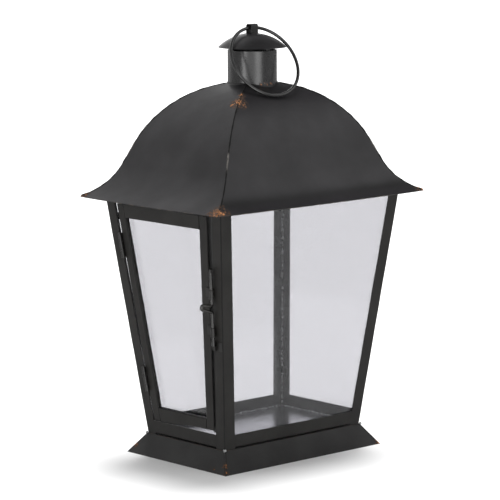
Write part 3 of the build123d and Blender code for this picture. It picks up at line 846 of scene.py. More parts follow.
@dataclass
class Finishes:
    """All the finishes, each made once.

    Attributes:
        made: each material by its name.
    """

    made: dict[str, bpy.types.Material] = field(default_factory=dict)

    def put(self, piece: Piece, finish: PaintedSheet | Glass | BareMetal) -> None:
        """Gives a piece one finish all over.

        Args:
            piece: a new piece or a CAD node.
            finish: its finish.
        """
        if finish.name not in self.made:
            self.made[finish.name] = finish.build()
        piece.data.materials.clear()
        piece.data.materials.append(self.made[finish.name])
        if piece.get("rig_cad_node"):
            faces = piece.data.polygons
            faces.foreach_set("material_index", np.zeros(len(faces), np.int32))


FINISHES = Finishes()


def deliver(piece: Piece, body: str, finish: PaintedSheet | Glass | BareMetal,
            stands_for: tuple[str, ...] = ()) -> Piece:
    """Dresses a new piece, sets the body that it rides on and reports it.

    Args:
        piece: the new piece.
        body: the body that it moves with.
        finish: its finish.
        stands_for: the CAD nodes that it replaces.

    Returns:
        The same piece.
    """
    FINISHES.put(piece, finish)
    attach(piece, body)
    if stands_for:
        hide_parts(*stands_for)
    LOG.info("%s rides on %s", piece.name, body)
    return piece


def keep_node(node: str, finish: PaintedSheet | Glass | BareMetal) -> None:
    """Dresses a CAD node that is shown as it is."""
    FINISHES.put(bpy.data.objects[node], finish)
    LOG.info("%s is the CAD node", node)


# ------------------------------------------------------------------------ sub-assemblies
FRAME_PAINT = PaintedSheet("frame_paint", (0.0158, 0.0150, 0.0140), (0.0235, 0.0222, 0.0206),
                           roughness=0.44, specular=0.3, wear=0.2)
FITTING_PAINT = PaintedSheet("fitting_paint", (0.010, 0.0096, 0.0088), (0.018, 0.017, 0.016),
                             roughness=0.3, specular=0.55)
BOLT_PAINT = PaintedSheet("bolt_paint", (0.010, 0.0096, 0.009), (0.030, 0.028, 0.026),
                          roughness=0.24, specular=0.9)
STOP_PAINT = PaintedSheet("stop_paint", (0.055, 0.055, 0.055), (0.075, 0.075, 0.075), roughness=0.5)
RING_PAINT = PaintedSheet("ring_paint", (0.008, 0.008, 0.008), (0.016, 0.016, 0.016),
                          roughness=0.19, specular=0.9)
SOLDER = BareMetal("solder", (0.72, 0.73, 0.74), (0.3, 0.3, 0.3), roughness=0.38, patch=900)
PALE_BEAD = BareMetal("pale_bead", (0.62, 0.64, 0.64), (0.10, 0.10, 0.10), roughness=0.55,
                      metallic=0.0, patch=420)
FLOOR_METAL = BareMetal("floor_metal", (0.70, 0.70, 0.745), (0.52, 0.52, 0.555), roughness=0.22,
                        patch=22)
TAB_METAL = BareMetal("tab_metal", (0.05, 0.05, 0.05), (0.02, 0.02, 0.02), roughness=0.5,
                      metallic=0.3)


@dataclass
class Base:
    """Flared skirt of four mitred panels, each folded from one strip.

    Attributes:
        sheet: thickness.
        bend: radius of the folds' middle line.
        toe: how far the hem stands out past the face.
        ledge: width of the ledge on top.
        hem: width of the hem below.
        sag: how far the middle of a panel is pressed in.
        joint: half the gap at a mitre.
        front_solder: radius of the blob at the front corner.
        other_solder: radius of the other blobs.
        columns: stations along a panel.
    """

    sheet: float = 0.8 * MM
    bend: float = 0.2 * MM
    toe: float = 1.3 * MM
    ledge: float = 14.0 * MM
    hem: float = 4.0 * MM
    sag: float = 0.5 * MM
    joint: float = 0.1 * MM
    front_solder: float = 1.7 * MM
    other_solder: float = 1.3 * MM
    columns: int = 61

    def build(self) -> None:
        """Makes the four panels and the solder at their upper corners."""
        skirt = Taper.of_nodes("base_skirt_front")
        paint = PaintedSheet("base_paint", (0.0172, 0.0166, 0.0165), (0.0245, 0.0239, 0.0238),
                             roughness=0.46, specular=0.3, wear=0.75, bare=(0.085, 0.05, 0.028),
                             rust=self.rust(skirt))
        for side in Side:
            self.panel(side, skirt, paint)
        self.solder(skirt)

    @staticmethod
    def rust(skirt: Taper) -> tuple[Spot, ...]:
        """Rust low on the corners, strongest at the front one.

        Args:
            skirt: the skirt's outer faces.

        Returns:
            The spots.
        """
        x, y, height = skirt.foot[0], skirt.foot[1], skirt.top[2]
        low, middle = 0.1 * height, 0.42 * height

        def on_corner(sign_x: int, sign_y: int, z: float) -> tuple[float, float, float]:
            """Point of a corner's seam at a height."""
            return (sign_x * skirt.half(0, z), sign_y * skirt.half(1, z), z)

        return (Spot(on_corner(-1, -1, middle), 4.2 * MM), Spot(on_corner(-1, -1, low), 4.2 * MM),
                Spot(on_corner(1, -1, low), 5.5 * MM), Spot(on_corner(-1, 1, middle), 5.5 * MM),
                Spot(on_corner(1, 1, low), 8.0 * MM),
                Spot((-x, -y + 19.5 * MM, 5.5 * MM), 3.5 * MM),
                Spot((-x, -y + 24.5 * MM, 5.0 * MM), 3.2 * MM))

    def panel(self, side: Side, skirt: Taper, paint: PaintedSheet) -> None:
        """One panel: the folded strip's outline carried from mitre to mitre.

        A point at depth d inside the flared face and height z lies at the face's half
        length there less d, and it runs along the side as far as the mitre at that depth.

        Args:
            side: where the panel is.
            skirt: the skirt's outer faces.
            paint: its finish.
        """
        along, across = (0, 1) if side.wide else (1, 0)
        half = self.sheet / 2
        rise = skirt.top[2]
        steep = rise / (skirt.foot[across] - skirt.top[across])
        route = [(skirt.foot[across] - self.hem, half),
                 (skirt.foot[across] + self.toe - half, half - self.toe * min(steep, 1.0)),
                 (skirt.top[across] - half, rise - half),
                 (skirt.top[across] - self.ledge, rise - half)]
        outline, marks = folded_sheet(route, self.sheet, self.bend)
        run, height = outline[:, 0], np.clip(outline[:, 1], 0.0, rise)
        steps = [skirt.foot[axis] - skirt.top[axis] for axis in (0, 1)]
        share = (run - skirt.top[across]) / steps[across]
        reach = skirt.top[along] + share * steps[along] - self.joint
        u = np.linspace(-1, 1, self.columns)[:, None]
        middle = self.sag * (1 - u ** 2) * np.sin(pi * np.clip(height / rise, 0, 1))
        lengths = u * reach[None]
        depths = run[None] - middle
        sign = side.value[across]
        rings = np.zeros((self.columns, len(run), 3))
        rings[..., along] = lengths
        rings[..., across] = sign * depths
        rings[..., 2] = height
        end = np.clip(1 - (1 - np.abs(u)) * self.columns / 3.0, 0, 1)
        spread = {"worn": np.maximum(marks["worn"][None] * 0.9, end * 0.7),
                  "inner": marks["inner"][None],
                  "seam": 0.75 * (np.abs(u) > 0.999) * (1 - marks["inner"][None])}
        piece = bar(f"skirt_{side.label}", rings, spread)
        deliver(piece, "body", paint, (f"base_skirt_{side.label}",))

    def solder(self, skirt: Taper) -> None:
        """A small bright blob of solder where each post meets the skirt.

        Args:
            skirt: the skirt's outer faces.
        """
        for index, (sign_x, sign_y) in enumerate(CORNERS):
            size = self.front_solder if index == 0 else self.other_solder
            inset = 0.5 * MM if index == 0 else -0.2 * MM
            centre = np.array([sign_x * (skirt.top[0] - inset), sign_y * (skirt.top[1] - inset),
                               skirt.top[2] + 0.1 * MM])
            piece = blob(f"base_solder_{index + 1}", centre, (size, size, size * 1.1), seed=index)
            deliver(piece, "body", SOLDER)


def blob(name: str, centre: Array, radii: tuple[float, float, float], seed: int,
         rows: int = 12) -> Piece:
    """Uneven ball: latitude and longitude grid pushed in and out by slow waves.

    Args:
        name: the piece's name.
        centre: its centre.
        radii: its radii along the three axes.
        seed: chooses the waves.
        rows: rows of latitude.

    Returns:
        The new object.
    """
    latitude = np.linspace(-pi / 2 + 0.05, pi / 2 - 0.05, rows)[:, None]
    longitude = np.linspace(0, 2 * pi, 2 * rows, endpoint=False)[None]
    ball = np.stack([np.cos(latitude) * np.cos(longitude), np.cos(latitude) * np.sin(longitude),
                     np.sin(latitude) * np.ones_like(longitude)], -1)
    ball = ball * (1 + ripple(ball, 0.3, 1.6, seed))[..., None]
    return bar(name, centre + ball * np.array(radii), crease=80.0)


@dataclass
class Body:
    """Tapered box of corner posts, rails, panes and floor.

    Attributes:
        sheet: thickness.
        bend: radius of the folds' middle line.
        shelf: width of the rails' shelves.
        stations: stations along a post or a rail.
        joint: gap between a rail and a post.
        post_wave: how far a post is out of true.
        rail_wave: how far a rail is out of true.
        corner_bead: radius of the bead in the back corner.
        bead_lump: how uneven the beads are.
        bead_points: points along a bead.
        floor_bead: least radius of the beads on the floor.
        floor_bead_inset: from the body's face to their middle line.
    """

    sheet: float = 0.8 * MM
    bend: float = 0.55 * MM
    shelf: float = 8.8 * MM
    stations: int = 40
    joint: float = 0.12 * MM
    post_wave: float = 0.12 * MM
    rail_wave: float = 0.25 * MM
    corner_bead: float = 1.5 * MM
    bead_lump: float = 0.5 * MM
    bead_points: int = 260
    floor_bead: float = 0.55 * MM
    floor_bead_inset: float = 4.6 * MM

    def build(self) -> None:
        """Makes the posts, rails and beads, and dresses the panes and the floor."""
        self.block = Taper.of_nodes("corner_post_front_right")
        for name, sign_x, sign_y in (("door_hinge", -1, 1), ("door_bolt", -1, -1),
                                     ("front_right", 1, -1), ("back_right", 1, 1)):
            self.post(name, sign_x, sign_y)
        for side in Side:
            bottom = "door_sill" if side is Side.LEFT else f"bottom_rail_{side.label}"
            top = "door_lintel" if side is Side.LEFT else f"top_rail_{side.label}"
            self.rail(side, bottom, True)
            self.rail(side, top, False)
        for node in ("glass_front", "glass_back", "glass_right"):
            keep_node(node, Glass())
        keep_node("floor_plate", FLOOR_METAL)
        keep_node("pane_tabs", TAB_METAL)
        for node in ("door_stop_side", "door_stop_top"):
            keep_node(node, STOP_PAINT)
        self.beads()

    def flange(self, node: str, axis: int) -> float:
        """Width of a post's flange along X (0) or Y (1), read at its foot.

        Args:
            node: the post's CAD node.
            axis: 0 for X, 1 for Y.

        Returns:
            The width.
        """
        points = vertices(node)
        foot = points[points[:, 2] < points[:, 2].min() + SAME_HEIGHT]
        return float(np.ptp(foot[:, axis]))

    def post(self, name: str, sign_x: int, sign_y: int) -> None:
        """One corner post: an L whose corner follows the body's corner line.

        The outline's two numbers are the depths behind the narrow and the wide face.

        Args:
            name: the corner, as in the CAD node's name.
            sign_x: side of the corner along X.
            sign_y: side of the corner along Y.
        """
        half = self.sheet / 2
        node = f"corner_post_{name}"
        route = [(half, self.flange(node, 1)), (half, half), (self.flange(node, 0), half)]
        outline, marks = folded_sheet(route, self.sheet, self.bend, steps=6)
        marks["worn"] = marks["worn"] * (1 - marks["seam"])
        height = np.linspace(self.block.foot[2], self.block.top[2], self.stations)[:, None]
        bow = self.post_wave * np.sin(height * 61 + sign_x) * np.sin(height * 23 + 2 * sign_y)
        x = sign_x * (self.block.half(0, height) - outline[None, :, 0] - np.abs(bow))
        y = sign_y * (self.block.half(1, height) - outline[None, :, 1] - np.abs(bow))
        rings = np.stack([x, y, np.broadcast_to(height, x.shape)], -1)
        piece = bar(f"post_{name}", rings, marks)
        deliver(piece, "body", FRAME_PAINT, (node,))

    def rail(self, side: Side, node: str, bottom: bool) -> None:
        """One rail between two posts: an L with its shelf turned inwards.

        Its ends follow the flanges' slanted edges, read off the CAD node's outer face.

        Args:
            side: the face that holds the rail.
            node: its CAD node.
            bottom: True for a rail at the foot, whose shelf is its lower edge.
        """
        along, across = (0, 1) if side.wide else (1, 0)
        sign = side.value[across]
        points = vertices(node)
        low, high = points[:, 2].min(), points[:, 2].max()
        face = points[points[:, across] * sign > self.block.half(across, points[:, 2]) - SAME_FACE]
        foot = face[face[:, 2] < low + SAME_HEIGHT, along]
        head = face[face[:, 2] > high - SAME_HEIGHT, along]
        half = self.sheet / 2
        route = [(half, high), (half, low + half), (self.shelf, low + half)]
        if not bottom:
            route = [(half, low), (half, high - half), (self.shelf, high - half)]
        outline, marks = folded_sheet(route, self.sheet, self.bend, inner_left=bottom)
        depth, height = outline[:, 0], outline[:, 1]
        share = (height - low) / (high - low)
        begin = foot.min() + (head.min() - foot.min()) * share + self.joint
        end = foot.max() + (head.max() - foot.max()) * share - self.joint
        u = np.linspace(0, 1, self.stations)[:, None]
        bow = self.rail_wave * u * (1 - u) * 4 * np.sin(5.0 * u + along)
        rings = np.zeros((self.stations, len(depth), 3))
        rings[..., along] = begin + (end - begin) * u
        rings[..., across] = sign * (self.block.half(across, height) - depth - np.abs(bow))
        rings[..., 2] = height
        piece = bar(f"rail_{node}", rings, marks)
        deliver(piece, "body", FRAME_PAINT, (node,))

    def beads(self) -> None:
        """Pale lumpy beads of sealant inside the back corner and along the floor's edges."""
        floor_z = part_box("floor_plate")[1][2]
        height = np.linspace(floor_z, self.block.top[2] - 12 * MM, self.bead_points)
        x = self.block.half(0, height) - self.corner_bead - self.sheet
        y = self.block.half(1, height) - self.corner_bead - self.sheet
        lump = self.bead_lump * ripple(np.stack([x, y, height], -1), 1.0, 9 * MM, 5)
        path = np.stack([x + lump, y - lump, height], -1)
        radius = self.corner_bead * (1 + 0.45 * ripple(path, 1.0, 5 * MM, 8))
        deliver(wire("bead_back_corner", path, radius, 12), "body", PALE_BEAD)
        for side in (Side.BACK, Side.RIGHT):
            along, across = (0, 1) if side.wide else (1, 0)
            reach = self.block.half(along, floor_z) - 4 * MM
            run = np.linspace(-0.5 * reach, reach, self.bead_points)
            path = np.zeros((len(run), 3))
            path[:, along] = run
            path[:, across] = side.value[across] * (self.block.half(across, floor_z)
                                                    - self.floor_bead_inset)
            path[:, 2] = floor_z + 0.2 * MM
            path[:, across] += self.bead_lump * ripple(path, 1.0, 14 * MM, 21 + across)
            swell = np.clip(ripple(path, 1.0, 11 * MM, 30 + across) + 0.25, 0.02, 1)
            radius = self.floor_bead + self.bead_lump * swell
            piece = wire(f"bead_floor_{side.label}", path, radius, 12)
            deliver(piece, "body", PALE_BEAD)


@dataclass
class Door:
    """Channel-framed door with its pane, hinges and drop bolt.

    Attributes:
        sheet: thickness.
        bend: radius of the folds' middle line.
        lift: how far the door's foot is bent up near the bolt.
        lift_start: half the length over which it bends.
        lip: width of the channels' lips.
        stile_wave: how far a stile is out of true.
        rail_wave: how far a rail is out of true.
        joint: gap between a rail and a stile.
        stations: stations along a stile or a rail.
    """

    sheet: float = 0.8 * MM
    bend: float = 0.55 * MM
    lift: float = 3.0 * MM
    lift_start: float = 22.0 * MM
    lip: float = 5.0 * MM
    stile_wave: float = 0.15 * MM
    rail_wave: float = 0.2 * MM
    joint: float = 0.05 * MM
    stations: int = 60

    def build(self) -> None:
        """Makes the frame, and dresses the pane, the hinges, the latch and the tabs."""
        block = Taper.of_nodes("corner_post_front_right")
        lean = (block.top[0] - block.foot[0]) / (block.top[2] - block.foot[2])
        self.out = unit(np.array([-1.0, 0.0, -lean]))
        self.up = unit(np.array([-lean, 0.0, 1.0]))
        self.right = np.array([0.0, -1.0, 0.0])
        self.origin = np.array([-block.half(0, 0.0), 0.0, 0.0])
        for node, outer_right in (("door_stile_hinge", False), ("door_stile_bolt", True)):
            self.stile(node, outer_right)
        for node, web_at_top in (("door_rail_bottom", True), ("door_rail_top", False)):
            self.rail(node, web_at_top)
        keep_node("glass_door", Glass())
        keep_node("door_pane_tabs", TAB_METAL)
        for node in sorted(bpy.data.objects.keys()):
            if node.startswith(("hinge_", "latch_")):
                keep_node(node, BOLT_PAINT if node == "latch_bolt" else FITTING_PAINT)

    def local(self, points: Array) -> Array:
        """Coordinates of points in the door's face: right, up and depth behind it."""
        moved = points - self.origin
        return np.stack([moved @ self.right, moved @ self.up, -(moved @ self.out)], -1)

    def world(self, right: Array, up: Array, depth: Array) -> Array:
        """Points from their coordinates in the door's face."""
        return (self.origin + right[..., None] * self.right + up[..., None] * self.up
                - depth[..., None] * self.out)

    def edges(self, node: str) -> tuple[Array, Array, float]:
        """Left and right edge of a node's face, each as x at its foot and top, and its depth.

        Args:
            node: the CAD node.

        Returns:
            The left edge, the right edge, both as x at the foot, x at the top, lowest and highest
            height, and the depth.
        """
        flat = self.local(vertices(node))
        front = flat[flat[:, 2] < SAME_FACE]
        low, high = front[:, 1].min(), front[:, 1].max()
        foot, top = front[front[:, 1] < low + SAME_HEIGHT], front[front[:, 1] > high - SAME_HEIGHT]
        left = np.array([foot[:, 0].min(), top[:, 0].min(), low, high])
        right = np.array([foot[:, 0].max(), top[:, 0].max(), low, high])
        return left, right, float(flat[:, 2].max())

    def foot_lift(self, right: Array) -> Array:
        """How far the door's foot is bent up: nothing at the hinges, most near the bolt."""
        share = np.clip((right + self.lift_start) / (2 * self.lift_start), 0, 1)
        return self.lift * eased(share)

    def stile(self, node: str, outer_right: bool) -> None:
        """One stile: a channel's outline, carried up the line of its outer edge.

        Args:
            node: its CAD node.
            outer_right: True if its outer edge is its right one.
        """
        left, right, depth = self.edges(node)
        outer, inner = (right, left) if outer_right else (left, right)
        width = abs(outer[0] - inner[0])
        half = self.sheet / 2
        route = [(0.0, half), (width - half, half), (width - half, depth - half),
                 (width - self.lip, depth - half)]
        outline, marks = folded_sheet(route, self.sheet, self.bend)
        marks["worn"] = marks["worn"] * (outline[:, 1] < self.sheet)
        share = np.linspace(0, 1, self.stations)[:, None]
        towards = -1 if outer_right else 1
        line = outer[0] + (outer[1] - outer[0]) * share
        up = outer[2] + (outer[3] - outer[2]) * share
        across = line + towards * outline[None, :, 0]
        up = np.maximum(up, outer[2] + self.foot_lift(across))
        bow = self.stile_wave * np.sin(up * 47 + towards)
        rings = self.world(across, up, np.abs(bow) + outline[None, :, 1])
        piece = bar(node.replace("door_", "door_frame_"), rings, marks)
        deliver(piece, "door", FRAME_PAINT, (node,))

    def rail(self, node: str, web_at_top: bool) -> None:
        """One cross rail: a channel's outline, carried between the two stiles.

        Args:
            node: its CAD node.
            web_at_top: True for the bottom rail, whose inner edge is its upper one.
        """
        left, right, depth = self.edges(node)
        low, high = left[2], left[3]
        half = self.sheet / 2
        start, web, back = high, low + half, low + self.lip
        if web_at_top:
            start, web, back = low, high - half, high - self.lip
        route = [(start, half), (web, half), (web, depth - half), (back, depth - half)]
        outline, marks = folded_sheet(route, self.sheet, self.bend, inner_left=web_at_top)
        marks["worn"] = marks["worn"] * (outline[:, 1] < self.sheet)
        share = (outline[:, 0] - low) / (high - low)
        begin = left[0] + (left[1] - left[0]) * share + self.joint
        end = right[0] + (right[1] - right[0]) * share - self.joint
        u = np.linspace(0, 1, self.stations)[:, None]
        across = begin + (end - begin) * u
        bow = self.rail_wave * np.sin(3.0 * u + web_at_top)
        up = np.broadcast_to(outline[None, :, 0], across.shape)
        if web_at_top:
            up = np.maximum(up, low + self.foot_lift(across))
        rings = self.world(across, up, np.abs(bow) + outline[None, :, 1])
        piece = bar(node.replace("door_", "door_frame_"), rings, marks)
        deliver(piece, "door", FRAME_PAINT, (node,))


@dataclass
class Roof:
    """Ogee roof of four panels with turned-up eave corners and beaded hip seams.

    The profile is a flare arc, a straight run and a dome arc, tangent to each other.

    Attributes:
        flare_start: slope at the eave.
        flare_radius: the flare's radius.
        steepest: slope of the straight run.
        straight: its length.
        dome_radius: the dome's radius.
        dome_end: slope at the crown.
        sheet: thickness.
        tip: how far the eave corners turn up.
        crown: run within which the crown is pressed down.
        press: half the depth of that.
        length: length of a panel, from the eave to the tube.
        dirty_from: height above the eave, as a share of shade_rise, where the painted shade beside
            the hips begins.
        shade_rise: height over which it grows to full.
        collar: height of the lip round the tube.
        collar_width: how fast the lip dies away.
        tip_reach: how fast the turn at a corner dies away, up the panel.
        tip_power: how close to the corner it stays.
        droop: half the eave's droop between the corners, beyond its droop at them.
        droop_reach: how fast the droop dies away.
        dent: depth of the large dents.
        dent_pitch: length of the large dents.
        small_dent: depth of the small dents.
        small_pitch: length of the small dents.
        crease: height of the line of painted shade above the eave, in the flare's hollow.
        crease_width: width of that line.
        tube_shade_width: width of the painted shadow round the tube's foot.
        hip_shade_width: width of the painted shade beside the hips.
        seam_radius: the seam beads' radius.
        seam_sink: depth of their middle line under the surface.
        rubbed_height: height above the eave of their worn stretch.
        rubbed_width: half the length of that stretch.
        crowding: how far columns crowd towards the hips.
        rows: rows of a panel.
        columns: columns of a panel.
    """

    flare_start: float = radians(20.0)
    flare_radius: float = 60.0 * MM
    steepest: float = radians(64.5)
    straight: float = 24.5 * MM
    dome_radius: float = 110.0 * MM
    dome_end: float = radians(12.0)
    sheet: float = 0.8 * MM
    tip: float = 0.3 * MM
    crown: float = 68.0 * MM
    press: float = 1.25 * MM
    length: float = 190.0 * MM
    dirty_from: float = 0.55
    shade_rise: float = 70.0 * MM
    collar: float = 1.7 * MM
    collar_width: float = 0.7 * MM
    tip_reach: float = 7.0 * MM
    tip_power: int = 22
    droop: float = 0.7 * MM
    droop_reach: float = 9.0 * MM
    dent: float = 0.45 * MM
    dent_pitch: float = 95.0 * MM
    small_dent: float = 0.12 * MM
    small_pitch: float = 30.0 * MM
    crease: float = 19.0 * MM
    crease_width: float = 7.0 * MM
    tube_shade_width: float = 1.6 * MM
    hip_shade_width: float = 3.5 * MM
    seam_radius: float = 0.8 * MM
    seam_sink: float = 0.45 * MM
    rubbed_height: float = 48.0 * MM
    rubbed_width: float = 22.0 * MM
    crowding: float = 1.12
    rows: int = 100
    columns: int = 129

    def build(self) -> None:
        """Makes the panels and the seams."""
        corner = np.abs(furthest("roof_panel_front", (1, -1, -10)))
        self.eave = corner[:2]
        self.eave_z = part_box("roof_panel_front")[0][2]
        self.ratio = self.eave[0] / self.eave[1]
        self.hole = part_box("chimney_tube")[1][0] + 0.03 * MM
        self.run, self.rise, self.slope = self.profile()
        paint = PaintedSheet("roof_paint", (0.0095, 0.0088, 0.0099), (0.0140, 0.0130, 0.0145),
                             roughness=0.38, specular=0.5, wear=0.35, rust=self.rust())
        for side in Side:
            self.panel(side, paint)
        self.seams()

    def profile(self) -> tuple[Array, Array, Array]:
        """Run along X, height and slope of the outer surface, from the eave to the crown.

        Returns:
            The run, the height and the slope of each point.
        """
        flare = np.linspace(self.flare_start, self.steepest, 60)
        run = self.eave[0] - self.flare_radius * (np.sin(flare) - sin(self.flare_start))
        rise = self.eave_z + self.sheet * cos(self.flare_start) + self.flare_radius * (
            cos(self.flare_start) - np.cos(flare))
        away = np.linspace(0, self.straight, 12)[1:]
        run = np.append(run, run[-1] - away * cos(self.steepest))
        rise = np.append(rise, rise[-1] + away * sin(self.steepest))
        slope = np.append(flare, np.full(len(away), self.steepest))
        dome = np.linspace(self.steepest, self.dome_end, 80)[1:]
        crown_run = run[-1] - self.dome_radius * (sin(self.steepest) - np.sin(dome))
        crown_rise = rise[-1] + self.dome_radius * (np.cos(dome) - cos(self.steepest))
        near = np.clip(1 - crown_run / self.crown, 0, 1)
        crown_rise = crown_rise - 2 * self.press * eased(near)
        return np.append(run, crown_run), np.append(rise, crown_rise), np.append(slope, dome)

    def row_shares(self) -> Array:
        """Share of the way up a panel of each row, a cosine that crowds rows at both ends."""
        return 0.5 - 0.5 * np.cos(pi * np.linspace(0, 1, self.rows)[:, None])

    def on_hip(self, run: float) -> tuple[float, float, float]:
        """Point of the front left hip at a run along X."""
        return (-run, -run / self.ratio, float(np.interp(-run, -self.run, self.rise)))

    def rust(self) -> tuple[Spot, ...]:
        """Rust at the eave corners and below the chimney on the front hip.

        Returns:
            The spots.
        """
        x, y, z = self.eave[0], self.eave[1], self.eave_z + 1.5 * MM
        below_chimney = self.on_hip(55 * MM)
        above_corner = self.on_hip(x - 6 * MM)
        return (Spot((-x, -y + 4 * MM, z), 14 * MM), Spot((-x + 6 * MM, -y, z + 3 * MM), 12 * MM),
                Spot(above_corner, 15 * MM), Spot((x, -y, z), 12 * MM), Spot((-x, y, z), 12 * MM),
                Spot((x, y, z), 10 * MM), Spot(below_chimney, 11.5 * MM),
                Spot(self.on_hip(44 * MM), 5 * MM))

    def surface(self, side: Side, inset: float) -> Array:
        """Grid of one panel, rows from the eave to the chimney's wall, columns between hips.

        A point at share u of the way out to the hip and at run r lies at u times the
        hip's distance along the side and at r across it. Its row is a share of the way
        up the profile to where the panel meets the chimney.

        Args:
            side: where the panel is.
            inset: how far the surface lies inside the outer one.

        Returns:
            Rows by columns by three.
        """
        u = np.linspace(-1, 1, self.columns)
        u = np.sign(u) * (1 - (1 - np.abs(u)) ** self.crowding)
        length = path_length(self.run, self.rise)
        stretch = 1.0 if not side.wide else 1 / self.ratio
        if side.wide:
            end_run = self.hole / np.sqrt(1 + (u * self.ratio) ** 2) * self.ratio
        else:
            end_run = self.hole / np.sqrt(1 + (u / self.ratio) ** 2)
        end_length = np.interp(-end_run, -self.run, length)
        share = self.row_shares()
        at = share * end_length[None]
        run = np.interp(at, length, self.run)
        rise = np.interp(at, length, self.rise)
        slope = np.interp(at, length, self.slope)
        reach = run if side.wide else run / self.ratio
        lift = self.tip * np.abs(u[None]) ** self.tip_power * np.exp(-at / self.tip_reach)
        droop = -self.droop * (1 + np.cos(pi * u[None] / 2)) * np.exp(-at / self.droop_reach)
        along, across = (0, 1) if side.wide else (1, 0)
        sign = side.value[across]
        points = np.zeros((self.rows, self.columns, 3))
        points[..., along] = u[None] * reach
        points[..., across] = sign * run * stretch
        points[..., 2] = rise + lift + droop
        seed = 11 + 7 * list(Side).index(side)
        fade = np.sin(pi * np.clip((u[None] + 1) / 2, 0, 1)) ** 0.5 * np.sin(pi * share) ** 0.4
        dents = (ripple(points, self.dent, self.dent_pitch, seed)
                 + ripple(points, self.small_dent, self.small_pitch, seed + 1)) * fade
        gap = np.hypot(points[..., 0], points[..., 1]) - self.hole
        points[..., 2] += self.collar * np.exp(-np.maximum(gap, 0) / self.collar_width)
        push = dents - inset
        points[..., across] += sign * push * np.sin(slope)
        points[..., 2] += push * np.cos(slope)
        return points

    def panel(self, side: Side, paint: PaintedSheet) -> None:
        """One panel as a closed sheet of even thickness, worn along its eave.

        Args:
            side: where the panel is.
            paint: its finish.
        """
        outer, inner = self.surface(side, 0.0), self.surface(side, self.sheet)
        u = np.linspace(-1, 1, self.columns)[None]
        row = np.arange(self.rows)[:, None]
        up = self.row_shares() * self.length
        # Painted shade: a dark line across the flare's hollow, strong on the wide sides, faint on
        # the narrow ones.
        crease_shade = (0.75 if side.wide else 0.12) * bell(up - self.crease, self.crease_width)
        crease_shade = crease_shade * np.clip(0.5 + 0.5 * np.abs(u), 0, 1)
        from_axis = np.hypot(outer[..., 0], outer[..., 1])
        # Painted shadow on the panel round the tube's foot.
        tube_shadow = 0.85 * bell(from_axis - self.hole, self.tube_shade_width)
        from_hip = (1 - np.abs(u)) * from_axis * 0.6
        high = np.clip((outer[..., 2] - self.eave_z) / self.shade_rise - self.dirty_from, 0, 1)
        # Painted shade beside the hips, high on the roof.
        hip_shade = 0.55 * high * bell(from_hip, self.hip_shade_width)
        # The darkest of the painted shades and the dark line of each hip's joint.
        painted_shade_and_seam = np.maximum(np.maximum(crease_shade, hip_shade),
                           np.maximum(tube_shadow, 0.8 * (np.abs(u) > 0.997)))
        marks = {"worn": np.where(row < 1, 1.0, 0.0), "seam": painted_shade_and_seam}
        piece = sheet_shell(f"roof_{side.label}", outer, inner, marks)
        deliver(piece, "body", paint, (f"roof_panel_{side.label}",))

    def seams(self) -> None:
        """A thin dressed bead along each hip, dark with rubbed stretches."""
        paint = PaintedSheet("seam_paint", (0.0030, 0.0030, 0.0030), (0.006, 0.006, 0.006),
                             roughness=0.45,
                             specular=0.3, wear=1.0, bare=(0.15, 0.14, 0.13), rust=self.rust())
        end = self.hole / np.sqrt(1 + self.ratio ** -2)
        keep = self.run > end
        run, rise, slope = self.run[keep], self.rise[keep], self.slope[keep]
        along = path_length(run, rise)
        lift = self.tip * np.exp(-along / self.tip_reach)
        radius = self.seam_radius * (1 + 0.25 * np.sin(along * 520) * np.sin(along * 133 + 1))
        rubbed = 0.98 * bell(rise - self.eave_z - self.rubbed_height, self.rubbed_width)
        inside = run - self.seam_sink * np.sin(slope)
        sides = 10
        for index, (sign_x, sign_y) in enumerate(((-1, -1), (1, -1), (1, 1), (-1, 1))):
            path = np.stack([sign_x * inside, sign_y * inside / self.ratio,
                             rise + lift - self.seam_sink * np.cos(slope)], -1)
            stations = np.arange(len(path) + 3)
            worn = np.interp(stations, stations[:-3], rubbed)[:, None] * np.ones(sides)
            piece = wire(f"hip_seam_{index + 1}", path[1:], radius[1:], sides, marks={"worn": worn})
            deliver(piece, "body", paint)


